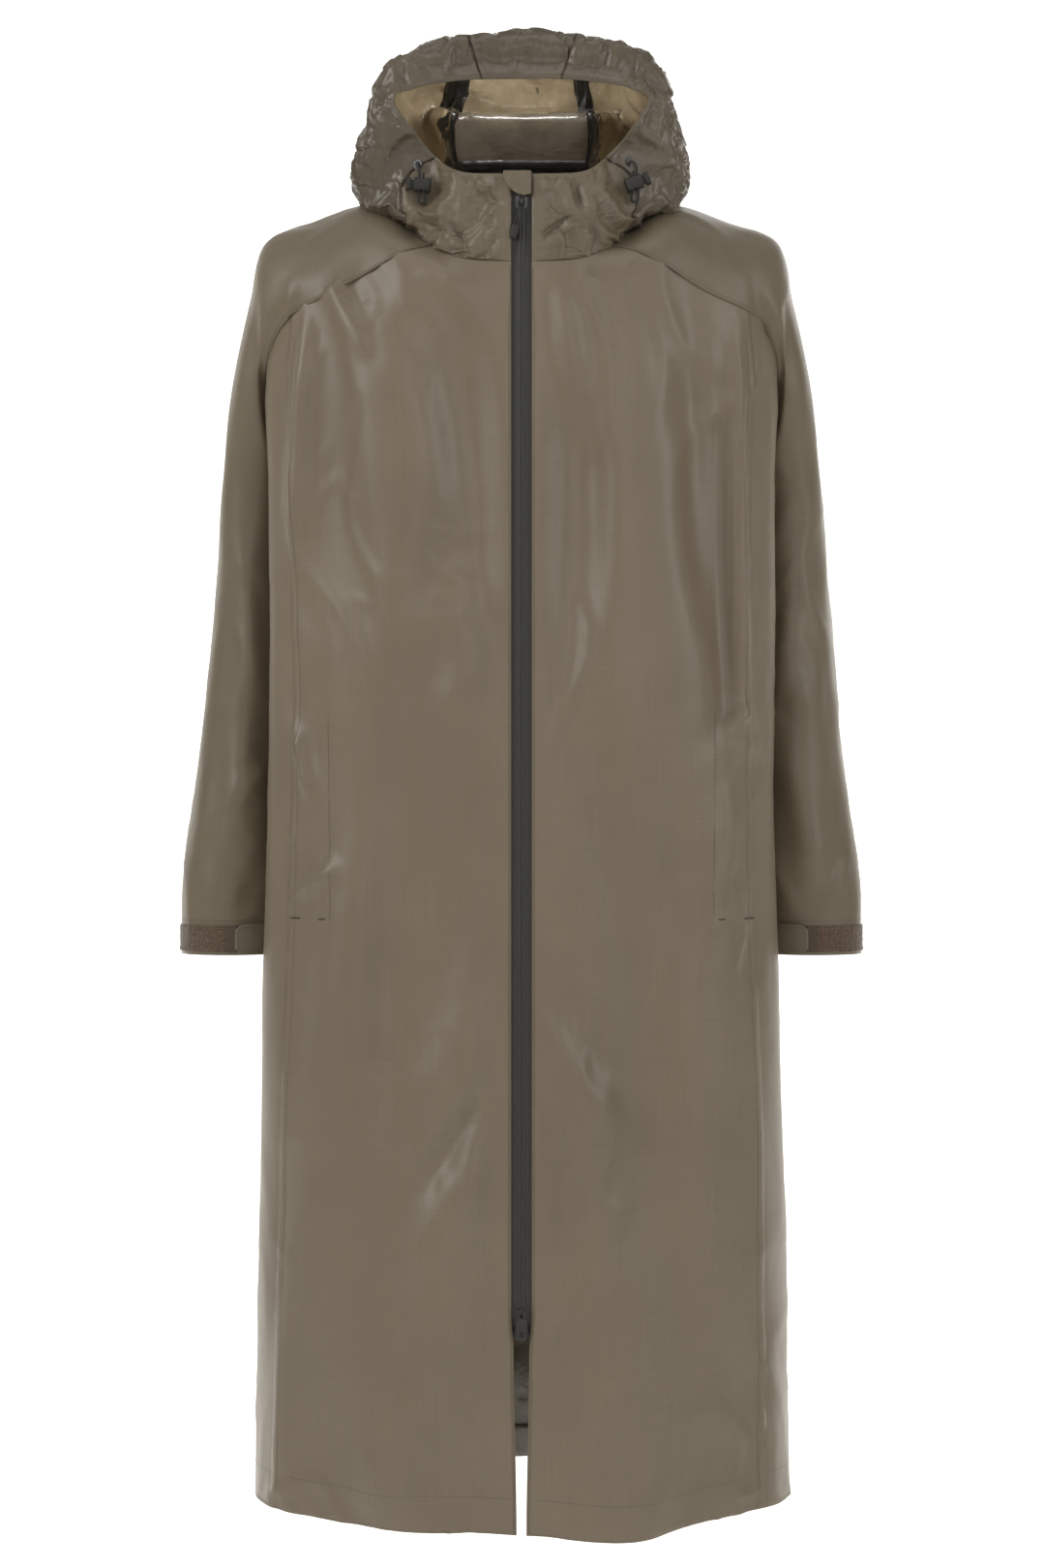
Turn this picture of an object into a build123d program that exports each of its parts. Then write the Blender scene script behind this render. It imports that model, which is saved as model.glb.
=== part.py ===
"""Long hooded raincoat with a two-way front zip, hanging as if worn.

Millimetres. X runs across the coat from its left edge to its right edge as seen
from the front, the front faces -Y, and Z is up. The origin is the centre of the
neck at shoulder level, where the wearer's shoulders or a hanger carry the coat.
Left and right in names are as seen from the front.
"""

from build123d import *
import math
import os

os.makedirs("parts", exist_ok=True)

# driving dimensions
FRONT_Y = -125.0  # front plane of the coat, along the zip
HEM_Z = -1191.0
CUFF_Z = -697.0
CLOTH = 2.4  # wall of the soft solids
SEAM_Y = -77.0  # side seams, set towards the front
ARMHOLE_X = 205.0  # plane where the sleeves leave the coat
UNDERARM_Z = -270.0
SLEEVE_GAP = 0.6
RAGLAN_IN = (78.0, -49.0)  # raglan seam at the neck, x and z
RAGLAN_OUT = (240.0, -144.0)  # and past the armhole
RAGLAN_TOP_X = 50.0  # where the seam meets the collar
NECK_X, NECK_Y, NECK_CENTRE_Y = 92.0, 80.0, -45.0
NECK_FRONT_Z, NECK_BACK_Z = -81.0, -10.0
COLLAR_FRONT_Z, COLLAR_BACK_Z = -4.0, 34.0
ZIP_GAP = 9.0  # half the gap between the two front edges
ZIP_TOP_Z = -8.0
TAPE_FRONT_Y = FRONT_Y + CLOTH + 0.4
TOP_SLIDER_Z = -28.0
BOTTOM_SLIDER_Z = -1003.0
HOOD_SEAM_X = 60.0  # seams between the hood's centre and side panels
BRIM_Y = -62.0
POCKET_TOP_Z, POCKET_BOTTOM_Z = -478.0, -661.0
HEM_BAND = 24.0

# torso outline by height: z, half width, centre y, front depth, back depth
TORSO_RINGS = [
    (HEM_Z, 246, -10, 115, 155),
    (-745, 236, -30, 95, 160),
    (-400, 229, -50, 75, 170),
    (UNDERARM_Z, 229, -50, 75, 165),
    (-130, 228, -46, 79, 142),
    (-80, 226, -42, 83, 120),
    (-45, 220, -32, 82, 104),
    (-22, 206, -28, 60, 90),
    (-10, 180, -26, 48, 78),
    (0, 150, -24, 40, 66),
    (6, 100, -24, 30, 50),
]
# sleeve outline by height: z, centre x, centre y, half width, half depth
SLEEVE_RINGS = [
    (CUFF_Z, 270, 30, 46, 42),
    (CUFF_Z + 31, 270, 30, 46, 42),
    (-550, 262, 36, 42, 54),
    (-400, 253, 48, 40, 64),
    (-310, 249, 52, 33, 64),
    (UNDERARM_Z - 2, 246, 51, 31, 63),
    (-236, 224, 2, 46, 76),
    (-156, 212, -14, 48, 70),
    (-85, 199, -16, 48, 60),
    (-45, 190, -16, 42, 42),
    (-26, 184, -14, 26, 24),
]
# hood outline by height: z, half width, centre y, half depth
HOOD_RINGS = [
    (8, 151, 3, 110),
    (34, 149, 5, 112),
    (58, 138, 2, 106),
    (85, 126, 0, 98),
    (110, 110, -4, 86),
    (127, 92, -8, 70),
    (137, 66, -10, 50),
    (143, 30, -12, 24),
]
# face opening, seen from the front: half width and height
FACE_OUTLINE = [(-55, 5), (-78, 20), (-101, 46), (-112, 70), (-72, 86), (0, 91)]

NODES = []


def save(part, name):
    """Label one finished piece and write it."""
    part.label = name
    export_step(part, f"parts/{name}.step")
    NODES.append(name)


def egg_section(ring, inset):
    """Draw one torso outline: a shallow front half and a deeper back half."""
    z, half, mid, front, back = ring
    with BuildSketch(Plane.XY.offset(z)) as section:
        with BuildLine():
            EllipticalCenterArc((0, mid), half - inset, front - inset, 180, arc_size=180)
            EllipticalCenterArc((0, mid), half - inset, back - inset, 0, arc_size=180)
        make_face()
    return section.sketch


def torso_layer(inset, thick):
    """Make a closed layer of the coat's body at a given depth inside its surface."""
    with BuildPart() as layer:
        loft([egg_section(ring, inset) for ring in TORSO_RINGS], ruled=True)
        inner = [egg_section(ring, inset + thick) for ring in TORSO_RINGS]
        loft(inner, ruled=True, mode=Mode.SUBTRACT)
    return layer.part


def oval_section(z, centre, radii):
    """Draw one level oval at a height."""
    with BuildSketch(Plane.XY.offset(z)) as section:
        with Locations(centre):
            Ellipse(*radii)
    return section.sketch


def hood_layer(inset, thick):
    """Make a closed layer of the hood at a given depth inside its surface."""
    with BuildPart() as layer:
        for depth, how in ((inset, Mode.ADD), (inset + thick, Mode.SUBTRACT)):
            ovals = []
            for z, half, mid, deep in HOOD_RINGS:
                drop = depth if z == HOOD_RINGS[-1][0] else 0
                ovals.append(oval_section(z - drop, (0, mid), (half - depth, deep - depth)))
            loft(ovals, ruled=True, mode=how)
    return layer.part


def front_prism(points, y_from, y_to):
    """Make a prism whose outline is drawn in the front view."""
    with BuildPart() as prism:
        with BuildSketch(Plane.XZ.offset(-y_to)):
            with BuildLine():
                Polyline(*points, close=True)
            make_face()
        extrude(amount=y_to - y_from)
    return prism.part


def side(x, sign):
    """Mirror a list of front view points onto the side with this sign."""
    return [(sign * px, pz) for px, pz in x]


SIDES = (("left", -1), ("right", 1))
torso = torso_layer(0, CLOTH)

# neck opening: an upright oval tube cut below by the sloping neck seam
with BuildPart() as neck_cut:
    with BuildSketch(Plane.XY.offset(-120)):
        with Locations((0, NECK_CENTRE_Y)):
            Ellipse(NECK_X, NECK_Y)
    extrude(amount=200)
    slope = Plane(
        origin=(0, FRONT_Y, NECK_FRONT_Z),
        x_dir=(1, 0, 0),
        z_dir=(0, NECK_FRONT_Z - NECK_BACK_Z, 2 * NECK_Y),
    )
    split(bisect_by=slope, keep=Keep.TOP)

with BuildPart() as body_shell:
    add(torso)
    add(neck_cut.part, mode=Mode.SUBTRACT)
    for sign in (-1, 1):
        hole = [(ARMHOLE_X, 20), (300, 20), (300, UNDERARM_Z), (ARMHOLE_X, UNDERARM_Z)]
        add(front_prism(side(hole, sign), -200, 200), mode=Mode.SUBTRACT)

RAGLAN = [RAGLAN_IN, RAGLAN_OUT, (240, 60), (RAGLAN_TOP_X, 60), (RAGLAN_TOP_X, -36)]
BODY_HALF = [(0, HEM_Z - 5), (270, HEM_Z - 5), (270, 60), (0, 60)]

for name, sign in SIDES:
    with BuildPart() as raglan_shoulder:
        add(body_shell.part)
        add(front_prism(side(RAGLAN, sign), -200, 200), mode=Mode.INTERSECT)
    save(raglan_shoulder.part, f"raglan_shoulder_{name}")

    with BuildPart() as front_panel:
        add(body_shell.part)
        add(front_prism(side(BODY_HALF, sign), -200, SEAM_Y), mode=Mode.INTERSECT)
        add(front_prism(side(RAGLAN, sign), -200, 200), mode=Mode.SUBTRACT)
        edge = [(-1, 20), (ZIP_GAP, 20), (ZIP_GAP, HEM_Z - 5), (-1, HEM_Z - 5)]
        add(front_prism(side(edge, sign), -200, SEAM_Y), mode=Mode.SUBTRACT)
    save(front_panel.part, f"front_panel_{name}")

with BuildPart() as back_panel:
    add(body_shell.part)
    split(bisect_by=Plane.XZ.offset(-SEAM_Y), keep=Keep.BOTTOM)
    for sign in (-1, 1):
        add(front_prism(side(RAGLAN, sign), -200, 200), mode=Mode.SUBTRACT)
save(back_panel.part, "back_panel")


def collar_tube(inset, thick, bottom_drop, front_top, back_top):
    """Make an oval band round the neck between the sloping seam and a sloping top."""
    with BuildPart() as tube:
        with BuildSketch(Plane.XY.offset(-130)):
            with Locations((0, NECK_CENTRE_Y)):
                Ellipse(NECK_X - inset, NECK_Y - inset)
                Ellipse(NECK_X - inset - thick, NECK_Y - inset - thick, mode=Mode.SUBTRACT)
        extrude(amount=230)
        low = Plane(
            origin=(0, FRONT_Y, NECK_FRONT_Z - bottom_drop),
            x_dir=(1, 0, 0),
            z_dir=(0, NECK_FRONT_Z - NECK_BACK_Z, 2 * NECK_Y),
        )
        high = Plane(
            origin=(0, FRONT_Y, front_top),
            x_dir=(1, 0, 0),
            z_dir=(0, front_top - back_top, 2 * NECK_Y),
        )
        split(bisect_by=low, keep=Keep.TOP)
        split(bisect_by=high, keep=Keep.BOTTOM)
    return tube.part


with BuildPart() as collar:
    add(collar_tube(0.3, CLOTH, 0, COLLAR_FRONT_Z, COLLAR_BACK_Z))
    gap = [(-ZIP_GAP, 20), (ZIP_GAP, 20), (ZIP_GAP, -130), (-ZIP_GAP, -130)]
    add(front_prism(gap, -200, NECK_CENTRE_Y), mode=Mode.SUBTRACT)
    bed = [(-16.5, 20), (16.5, 20), (16.5, -130), (-16.5, -130)]
    add(front_prism(bed, TAPE_FRONT_Y - 0.2, NECK_CENTRE_Y), mode=Mode.SUBTRACT)
save(collar.part, "collar")

with BuildPart() as neck_seam_tape:
    add(collar_tube(0.6 + CLOTH, 0.6, -4, NECK_FRONT_Z + 22, NECK_BACK_Z + 22))
    gap = [(-20, 20), (20, 20), (20, -130), (-20, -130)]
    add(front_prism(gap, -200, NECK_CENTRE_Y), mode=Mode.SUBTRACT)
save(neck_seam_tape.part, "neck_seam_tape")

# hood: a rounded shell with a low wide face opening
with BuildPart() as hood_shell:
    add(hood_layer(0, CLOTH))
    arch = FACE_OUTLINE + [(-x, z) for x, z in reversed(FACE_OUTLINE[:-1])]
    add(front_prism(arch, -200, -20), mode=Mode.SUBTRACT)
    below = [(-55.2, 5.1), (55.2, 5.1), (55.2, 0), (-55.2, 0)]
    add(front_prism(below, -200, -20), mode=Mode.SUBTRACT)

CENTRE_STRIP = [(-HOOD_SEAM_X, 0), (HOOD_SEAM_X, 0), (HOOD_SEAM_X, 160), (-HOOD_SEAM_X, 160)]
BRIM = [(-128, 72), (128, 72), (128, 160), (-128, 160)]

with BuildPart() as hood_centre:
    add(hood_shell.part)
    add(front_prism(CENTRE_STRIP, BRIM_Y, 200), mode=Mode.INTERSECT)
save(hood_centre.part, "hood_centre_panel")

with BuildPart() as hood_brim:
    add(hood_shell.part)
    add(front_prism(BRIM, -200, BRIM_Y), mode=Mode.INTERSECT)
save(hood_brim.part, "hood_brim")

for name, sign in SIDES:
    with BuildPart() as hood_side:
        add(hood_shell.part)
        half = [(HOOD_SEAM_X - 6, 0), (160, 0), (160, 160), (HOOD_SEAM_X - 6, 160)]
        add(front_prism(side(half, sign), -200, 200), mode=Mode.INTERSECT)
        add(front_prism(CENTRE_STRIP, BRIM_Y, 200), mode=Mode.SUBTRACT)
        add(front_prism(BRIM, -200, BRIM_Y), mode=Mode.SUBTRACT)
    save(hood_side.part, f"hood_side_{name}")

    with BuildPart() as hood_tape:
        add(hood_layer(CLOTH + 0.3, 0.6))
        inner_x, outer_x = HOOD_SEAM_X - 9, HOOD_SEAM_X + 9
        strip = [(inner_x, 12), (outer_x, 12), (outer_x, 150), (inner_x, 150)]
        add(front_prism(side(strip, sign), BRIM_Y, 200), mode=Mode.INTERSECT)
    save(hood_tape.part, f"hood_seam_tape_{name}")

# hem facing and pockets follow the body at fixed depths
facing_layer = torso_layer(CLOTH + 0.3, 1.0)
with BuildPart() as hem_facing:
    add(facing_layer)
    band = [(-260, HEM_Z), (260, HEM_Z), (260, HEM_Z + HEM_BAND), (-260, HEM_Z + HEM_BAND)]
    add(front_prism(band, -200, 200), mode=Mode.INTERSECT)
    gap = [(-20, HEM_Z - 1), (20, HEM_Z - 1), (20, HEM_Z + 40), (-20, HEM_Z + 40)]
    add(front_prism(gap, -200, 0), mode=Mode.SUBTRACT)
save(hem_facing.part, "hem_facing")

welt_layer = torso_layer(-1.3, 1.0)
WELT = [(173, POCKET_TOP_Z), (199, POCKET_TOP_Z), (199, POCKET_BOTTOM_Z), (173, POCKET_BOTTOM_Z)]
BAG = [(60, -500), (110, -462), (195, -462), (195, -690), (90, -720), (60, -700)]
for name, sign in SIDES:
    with BuildPart() as pocket_welt:
        add(welt_layer)
        add(front_prism(side(WELT, sign), -200, -40), mode=Mode.INTERSECT)
    save(pocket_welt.part, f"pocket_welt_{name}")

    with BuildPart() as pocket_bag:
        add(facing_layer)
        add(front_prism(side(BAG, sign), -200, -40), mode=Mode.INTERSECT)
    save(pocket_bag.part, f"pocket_bag_{name}")

# two-way zip: tapes behind the front edges, coils behind the tapes
TAPE_THICK = 0.8
COIL_BACK_Y = TAPE_FRONT_Y + TAPE_THICK + 2.2
MID_GAP = 0.7
ZIP_BOTTOM_Z = HEM_Z + 4

for name, sign in SIDES:
    with BuildPart() as zip_tape:
        strip = [(MID_GAP, ZIP_TOP_Z), (16, ZIP_TOP_Z), (16, ZIP_BOTTOM_Z), (MID_GAP, ZIP_BOTTOM_Z)]
        with BuildSketch(Plane.XZ.offset(-TAPE_FRONT_Y)):
            with BuildLine():
                Polyline(*side(strip, sign), close=True)
            make_face()
        extrude(amount=-TAPE_THICK)
    save(zip_tape.part, f"zip_tape_{name}")

    with BuildPart() as zip_coil:
        coil_y = (TAPE_FRONT_Y + TAPE_THICK + COIL_BACK_Y) / 2
        with BuildSketch(Plane.XY.offset(ZIP_BOTTOM_Z + 14)):
            with Locations((sign * (MID_GAP + 1.4), coil_y)):
                RectangleRounded(2.8, COIL_BACK_Y - TAPE_FRONT_Y - TAPE_THICK - 0.1, 0.8)
        extrude(amount=ZIP_TOP_Z - 4 - ZIP_BOTTOM_Z - 14)
    save(zip_coil.part, f"zip_coil_{name}")

with BuildPart() as zip_end_pins:
    with BuildSketch(Plane.XY.offset(ZIP_BOTTOM_Z)):
        with Locations((MID_GAP + 1.4, coil_y), (-MID_GAP - 1.4, coil_y)):
            RectangleRounded(2.8, 2.1, 0.7)
    extrude(amount=13.8)
save(zip_end_pins.part, "zip_end_pins")

with BuildPart() as zip_top_stops:
    with BuildSketch(Plane.XY.offset(ZIP_TOP_Z - 3.8)):
        with Locations((MID_GAP + 1.4, coil_y), (-MID_GAP - 1.4, coil_y)):
            RectangleRounded(2.8, 2.1, 0.7)
    extrude(amount=3.6)
save(zip_top_stops.part, "zip_top_stops")

with BuildPart() as zip_garage:
    with BuildSketch(Plane.XZ.offset(-(FRONT_Y - 0.4))):
        with Locations((-4, -11)):
            RectangleRounded(22, 19, 5)
    extrude(amount=1.2)
save(zip_garage.part, "zip_garage")

SLIDER_W, SLIDER_L, PLATE = 10.6, 13.0, 1.3
SLIDER_FRONT_Y = TAPE_FRONT_Y - 0.4  # back of the slider's front plate


def slider_body(z_mid):
    """Make a zip slider: two plates, the web between them and the pull's bail."""
    with BuildPart() as slider:
        with BuildSketch(Plane.XZ.offset(-SLIDER_FRONT_Y)):
            with Locations((0, z_mid)):
                RectangleRounded(SLIDER_W, SLIDER_L, 3.2)
        extrude(amount=PLATE)
        with BuildSketch(Plane.XZ.offset(-(COIL_BACK_Y + 0.4 + PLATE))):
            with Locations((0, z_mid)):
                RectangleRounded(SLIDER_W, SLIDER_L, 3.2)
        extrude(amount=PLATE)
        with BuildSketch(Plane.XZ.offset(-(COIL_BACK_Y + 1))):
            with Locations((0, z_mid)):
                Rectangle(0.7, SLIDER_L - 5)
        extrude(amount=COIL_BACK_Y + 1 - SLIDER_FRONT_Y + 0.5)
        bail_y = SLIDER_FRONT_Y - PLATE
        with BuildSketch(Plane.YZ.offset(-0.9)):
            with Locations((bail_y - 0.9, z_mid)):
                RectangleRounded(4.2, 7.0, 1.8)
            with Locations((bail_y - 1.0, z_mid)):
                Circle(1.15, mode=Mode.SUBTRACT)
        extrude(amount=1.8)
    return slider.part


PIVOT_Y = SLIDER_FRONT_Y - PLATE - 1.0
save(slider_body(TOP_SLIDER_Z), "top_slider")
save(slider_body(BOTTOM_SLIDER_Z), "bottom_slider")

# top pull: a short cord loop through the bail with a moulded end
PULL_Y = PIVOT_Y - 2.1
with BuildPart() as top_pull_cord:
    for sign in (-1, 1):
        with BuildLine():
            FilletPolyline(
                (0, PIVOT_Y, TOP_SLIDER_Z),
                (sign * 2.6, PIVOT_Y, TOP_SLIDER_Z),
                (sign * 2.3 - 0.4, PULL_Y, TOP_SLIDER_Z - 7),
                (sign * 1.2 - 5.0, PULL_Y, TOP_SLIDER_Z - 21),
                radius=[0.75, 2.2],
            )
        with BuildSketch(Plane(origin=(0, PIVOT_Y, TOP_SLIDER_Z), z_dir=(sign, 0, 0))):
            Circle(0.7)
        sweep()
save(top_pull_cord.part, "top_pull_cord")

with BuildPart() as top_pull_end:
    base = Plane(origin=(-4.9, PULL_Y, TOP_SLIDER_Z - 21), z_dir=(-3.6, 0, -15), x_dir=(15, 0, -3.6))
    with BuildSketch(base):
        RectangleRounded(6.2, 3.4, 1.5)
    with BuildSketch(base.offset(6)):
        RectangleRounded(7.2, 4.0, 1.8)
    with BuildSketch(base.offset(12)):
        RectangleRounded(5.6, 3.2, 1.4)
    loft()
save(top_pull_end.part, "top_pull_end")

with BuildPart() as bottom_pull_tab:
    with BuildSketch(Plane.XZ.offset(-(PULL_Y + 0.8))):
        with Locations((0, BOTTOM_SLIDER_Z - 16)):
            RectangleRounded(9.6, 20, 3.8)
        with Locations((0, BOTTOM_SLIDER_Z - 20.5)):
            Circle(2.4, mode=Mode.SUBTRACT)
    extrude(amount=1.8)
    for sign in (-1, 1):
        with BuildSketch(Plane.XZ.offset(-(PULL_Y + 0.8))):
            with Locations((sign * 2.4, BOTTOM_SLIDER_Z - 3.6)):
                Rectangle(1.8, 9.2)
        extrude(amount=1.8)
    with BuildSketch(Plane.YZ.offset(-3.2)):
        with Locations((PIVOT_Y, BOTTOM_SLIDER_Z)):
            Circle(0.85)
    extrude(amount=6.4)
    for sign in (-1, 1):
        with BuildSketch(Plane.XZ.offset(-(PIVOT_Y + 0.5))):
            with Locations((sign * 2.4, BOTTOM_SLIDER_Z)):
                Rectangle(1.6, 1.7)
        extrude(amount=1.9)
save(bottom_pull_tab.part, "bottom_pull_tab")

# eyelets, drawcords and cord locks at the hood's front corners
LOCKS = {
    "left": {"eye": (-92, -86.5, 12), "lock": (-88, -96, -8), "tilt": 4},
    "right": {"eye": (97, -84.5, 15), "lock": (100, -93, -6), "tilt": 20},
}
EYE_OUT, EYE_IN = 4.6, 2.3
CORD_R = 1.2
BARREL_R, BARREL_L, BORE_R = 6.6, 15.0, 4.4
BUTTON_R, BUTTON_STEM = 6.0, 4.1
LOCK_BORE_R = CORD_R * 2 + 1.6  # hole across the lock for both legs of the cord
SLOT_LONG, SLOT_MID = 11.0, 9.9  # slot in the button's stem for the cords
RUN_SHARE = 0.45  # share of the shorter run that each bend may use


def bend_radii(points):
    """Radius of each bend of a route, as large as its two runs allow."""
    corners = [Vector(*point) for point in points]
    radii = []
    for before, corner, after in zip(corners, corners[1:], corners[2:]):
        into, out = corner - before, after - corner
        half_turn = math.radians(into.get_angle(out)) / 2
        radii.append(RUN_SHARE * min(into.length, out.length) / math.tan(half_turn))
    return radii


for name, sign in SIDES:
    ex, ey, ez = LOCKS[name]["eye"]
    lx, ly, lz = LOCKS[name]["lock"]
    tilt = math.radians(LOCKS[name]["tilt"])
    eye_face = Plane(origin=(ex, ey, ez), z_dir=(sign * 0.55, -1, 0), x_dir=(1, sign * 0.55, 0))
    with BuildPart() as eyelet:
        with BuildSketch(eye_face):
            Circle(EYE_OUT)
            Circle(EYE_IN, mode=Mode.SUBTRACT)
        extrude(amount=1.4)
        with BuildSketch(eye_face.offset(-2)):
            Circle(EYE_IN + 0.9)
            Circle(EYE_IN, mode=Mode.SUBTRACT)
        extrude(amount=2.2)
    save(eyelet.part, f"eyelet_{name}")

    along = (sign * math.cos(tilt), 0, math.sin(tilt))
    end = Plane(
        origin=(lx - along[0] * BARREL_L / 2, ly, lz - along[2] * BARREL_L / 2),
        x_dir=(0, 1, 0),
        z_dir=along,
    )
    with BuildPart() as lock_body:
        with BuildSketch(end):
            Circle(BARREL_R)
        extrude(amount=BARREL_L)
        with BuildSketch(end.offset(2)):
            Circle(BORE_R)
        extrude(amount=BARREL_L, mode=Mode.SUBTRACT)
        fillet(lock_body.edges().filter_by(GeomType.CIRCLE).group_by(Axis(end.origin, end.z_dir))[0], 1.2)
        with Locations((lx + sign * 1.0, ly, lz)):
            Cylinder(LOCK_BORE_R, 30, mode=Mode.SUBTRACT)
    save(lock_body.part, f"cordlock_body_{name}")

    with BuildPart() as lock_button:
        with BuildSketch(end.offset(BARREL_L + 3)):
            Circle(BUTTON_R)
        extrude(amount=4)
        with BuildSketch(end.offset(4.8)):
            Circle(BUTTON_STEM)
        extrude(amount=BARREL_L - 1.8)
        with Locations(end.offset(SLOT_MID).location):
            Box(CORD_R * 2 + 2.0, 30, SLOT_LONG, mode=Mode.SUBTRACT)
    save(lock_button.part, f"cordlock_button_{name}")

    with BuildPart() as lock_spring:
        with BuildSketch(end.offset(2.1)):
            Circle(3.4)
            Circle(2.6, mode=Mode.SUBTRACT)
        extrude(amount=1.6)
    save(lock_spring.part, f"cordlock_spring_{name}")

    out = (sign * 0.48, -0.87)
    route = [
        (ex, ey, ez),
        (ex + out[0] * 6, ey + out[1] * 6, ez - 0.5),
        (lx + sign * 2.4, ly - 0.4, lz + 14),
        (lx + sign * 2.4, ly, lz),
        (lx + sign * 3.0, ly - 0.4, lz - 9),
        (lx + sign * 4.0, ly - 0.8, lz - 13.5),
        (lx + sign * 2.6, ly - 1.2, lz - 16.6),
        (lx - sign * 1.2, ly - 1.2, lz - 16.8),
        (lx - sign * 2.6, ly - 0.8, lz - 13.5),
        (lx - sign * 1.4, ly - 0.4, lz - 9),
        (lx - sign * 0.4, ly, lz),
        (lx - sign * 0.9, ly - 0.2, lz + 11),
    ]
    bends = bend_radii(route)
    print(f"drawcord_{name} bend radii, mm:", ", ".join(f"{r:.1f}" for r in bends))
    with BuildPart() as drawcord:
        with BuildLine():
            FilletPolyline(*route, radius=bends)
        with BuildSketch(Plane(origin=route[0], z_dir=(out[0], out[1], -0.08))):
            Circle(CORD_R)
        sweep()
    save(drawcord.part, f"drawcord_{name}")

# hanger loop and care label inside the back of the neck
NAPE_Y = NECK_CENTRE_Y + NECK_Y - CLOTH - 5.0
with BuildPart() as hanger_loop:
    with BuildSketch(Plane.XY.offset(14)):
        with Locations((0, NAPE_Y - 6)):
            RectangleRounded(54, 12, 3)
            RectangleRounded(50, 8, 1.5, mode=Mode.SUBTRACT)
    extrude(amount=7)
save(hanger_loop.part, "hanger_loop")

with BuildPart() as care_label:
    with BuildSketch(Plane.XZ.offset(-(NAPE_Y - 14))):
        with Locations((0, -2)):
            RectangleRounded(34, 26, 1)
    extrude(amount=0.6)
save(care_label.part, "care_label")


def sleeve_tube(inset, sign):
    """Make a solid sleeve drawn in by an inset."""
    ovals = []
    for z, x_mid, y_mid, wide, deep in SLEEVE_RINGS:
        drop = inset if z == SLEEVE_RINGS[-1][0] else 0
        ovals.append(oval_section(z - drop, (sign * x_mid, y_mid), (wide - inset, deep - inset)))
    with BuildPart() as tube:
        loft(ovals, ruled=True)
    return tube.part


CUFF_X, CUFF_Y, CUFF_WIDE, CUFF_DEEP = SLEEVE_RINGS[0][1:]
BAND_LOW, BAND_HIGH = CUFF_Z + 2, CUFF_Z + 27
STRIP = 1.0
TAB_HINGE_ANGLE = -135


def cuff_strip(sign, lift, start, sweep_angle, low, high):
    """Make a thin curved strip round the cuff between two angles from straight outwards."""
    first = start if sign > 0 else 180 - start
    turn = sweep_angle if sign > 0 else -sweep_angle
    centre = (sign * CUFF_X, CUFF_Y)
    with BuildPart() as strip:
        with BuildSketch(Plane.XY.offset(low)):
            with BuildLine():
                near = EllipticalCenterArc(centre, CUFF_WIDE + lift, CUFF_DEEP + lift, first, arc_size=turn)
                wide, deep = CUFF_WIDE + lift + STRIP, CUFF_DEEP + lift + STRIP
                far = EllipticalCenterArc(centre, wide, deep, first, arc_size=turn)
                Line(near @ 0, far @ 0)
                Line(near @ 1, far @ 1)
            make_face()
        extrude(amount=high - low)
    return strip.part


for name, sign in SIDES:
    with BuildPart() as sleeve:
        add(sleeve_tube(0, sign))
        add(sleeve_tube(CLOTH, sign), mode=Mode.SUBTRACT)
        limit = ARMHOLE_X + SLEEVE_GAP
        inner = [(0, 40), (limit, 40), (limit, UNDERARM_Z - 20), (0, UNDERARM_Z - 20)]
        add(front_prism(side(inner, sign), -200, 200), mode=Mode.SUBTRACT)
    save(sleeve.part, f"sleeve_{name}")
    save(cuff_strip(sign, 0.3, -92, 110, BAND_LOW, BAND_HIGH), f"loop_patch_{name}")
    save(cuff_strip(sign, 1.7, -104, 16, BAND_LOW + 1, BAND_HIGH - 1), f"hook_patch_{name}")
    save(cuff_strip(sign, 2.75, TAB_HINGE_ANGLE, 48, BAND_LOW - 2, BAND_HIGH + 3), f"cuff_tab_{name}")

print(len(NODES), "nodes written")
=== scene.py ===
"""A long hooded raincoat of coated taffeta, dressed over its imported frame."""

import logging
import math
from dataclasses import dataclass, field
from enum import Enum
from typing import Callable, Iterable, Sequence

import bpy
import numpy as np
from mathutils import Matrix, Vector


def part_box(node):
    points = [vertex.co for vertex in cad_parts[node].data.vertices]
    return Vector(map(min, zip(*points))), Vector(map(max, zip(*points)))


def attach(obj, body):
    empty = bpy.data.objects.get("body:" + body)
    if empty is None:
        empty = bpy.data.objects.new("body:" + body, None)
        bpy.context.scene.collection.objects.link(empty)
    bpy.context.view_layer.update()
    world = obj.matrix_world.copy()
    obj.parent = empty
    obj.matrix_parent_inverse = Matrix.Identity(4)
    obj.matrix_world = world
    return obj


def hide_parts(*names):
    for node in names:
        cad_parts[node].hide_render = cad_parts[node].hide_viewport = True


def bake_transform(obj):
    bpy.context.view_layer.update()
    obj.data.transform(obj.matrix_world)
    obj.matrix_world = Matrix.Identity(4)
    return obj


log = logging.getLogger("raincoat")
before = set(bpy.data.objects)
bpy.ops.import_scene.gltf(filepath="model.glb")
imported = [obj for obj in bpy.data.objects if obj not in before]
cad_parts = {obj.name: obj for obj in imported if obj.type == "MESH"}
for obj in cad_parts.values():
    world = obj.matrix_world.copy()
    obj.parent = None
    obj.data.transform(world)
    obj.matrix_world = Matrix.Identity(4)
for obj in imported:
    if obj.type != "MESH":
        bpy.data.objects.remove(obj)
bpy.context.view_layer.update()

MM = 0.001
Grid = np.ndarray  # rows x columns x 3, in millimetres
SIDES = (("left", -1.0), ("right", 1.0))
HOOD_HEART = np.array([0.0, -10.0, 35.0])  # a point inside the hood, from which its faces look away


class Held(Enum):
    """How a sheet of cloth is held."""

    HUNG = "hung"
    GATHERED = "gathered"
    LAID = "laid"


# ---------------------------------------------------------------- small tools


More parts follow.
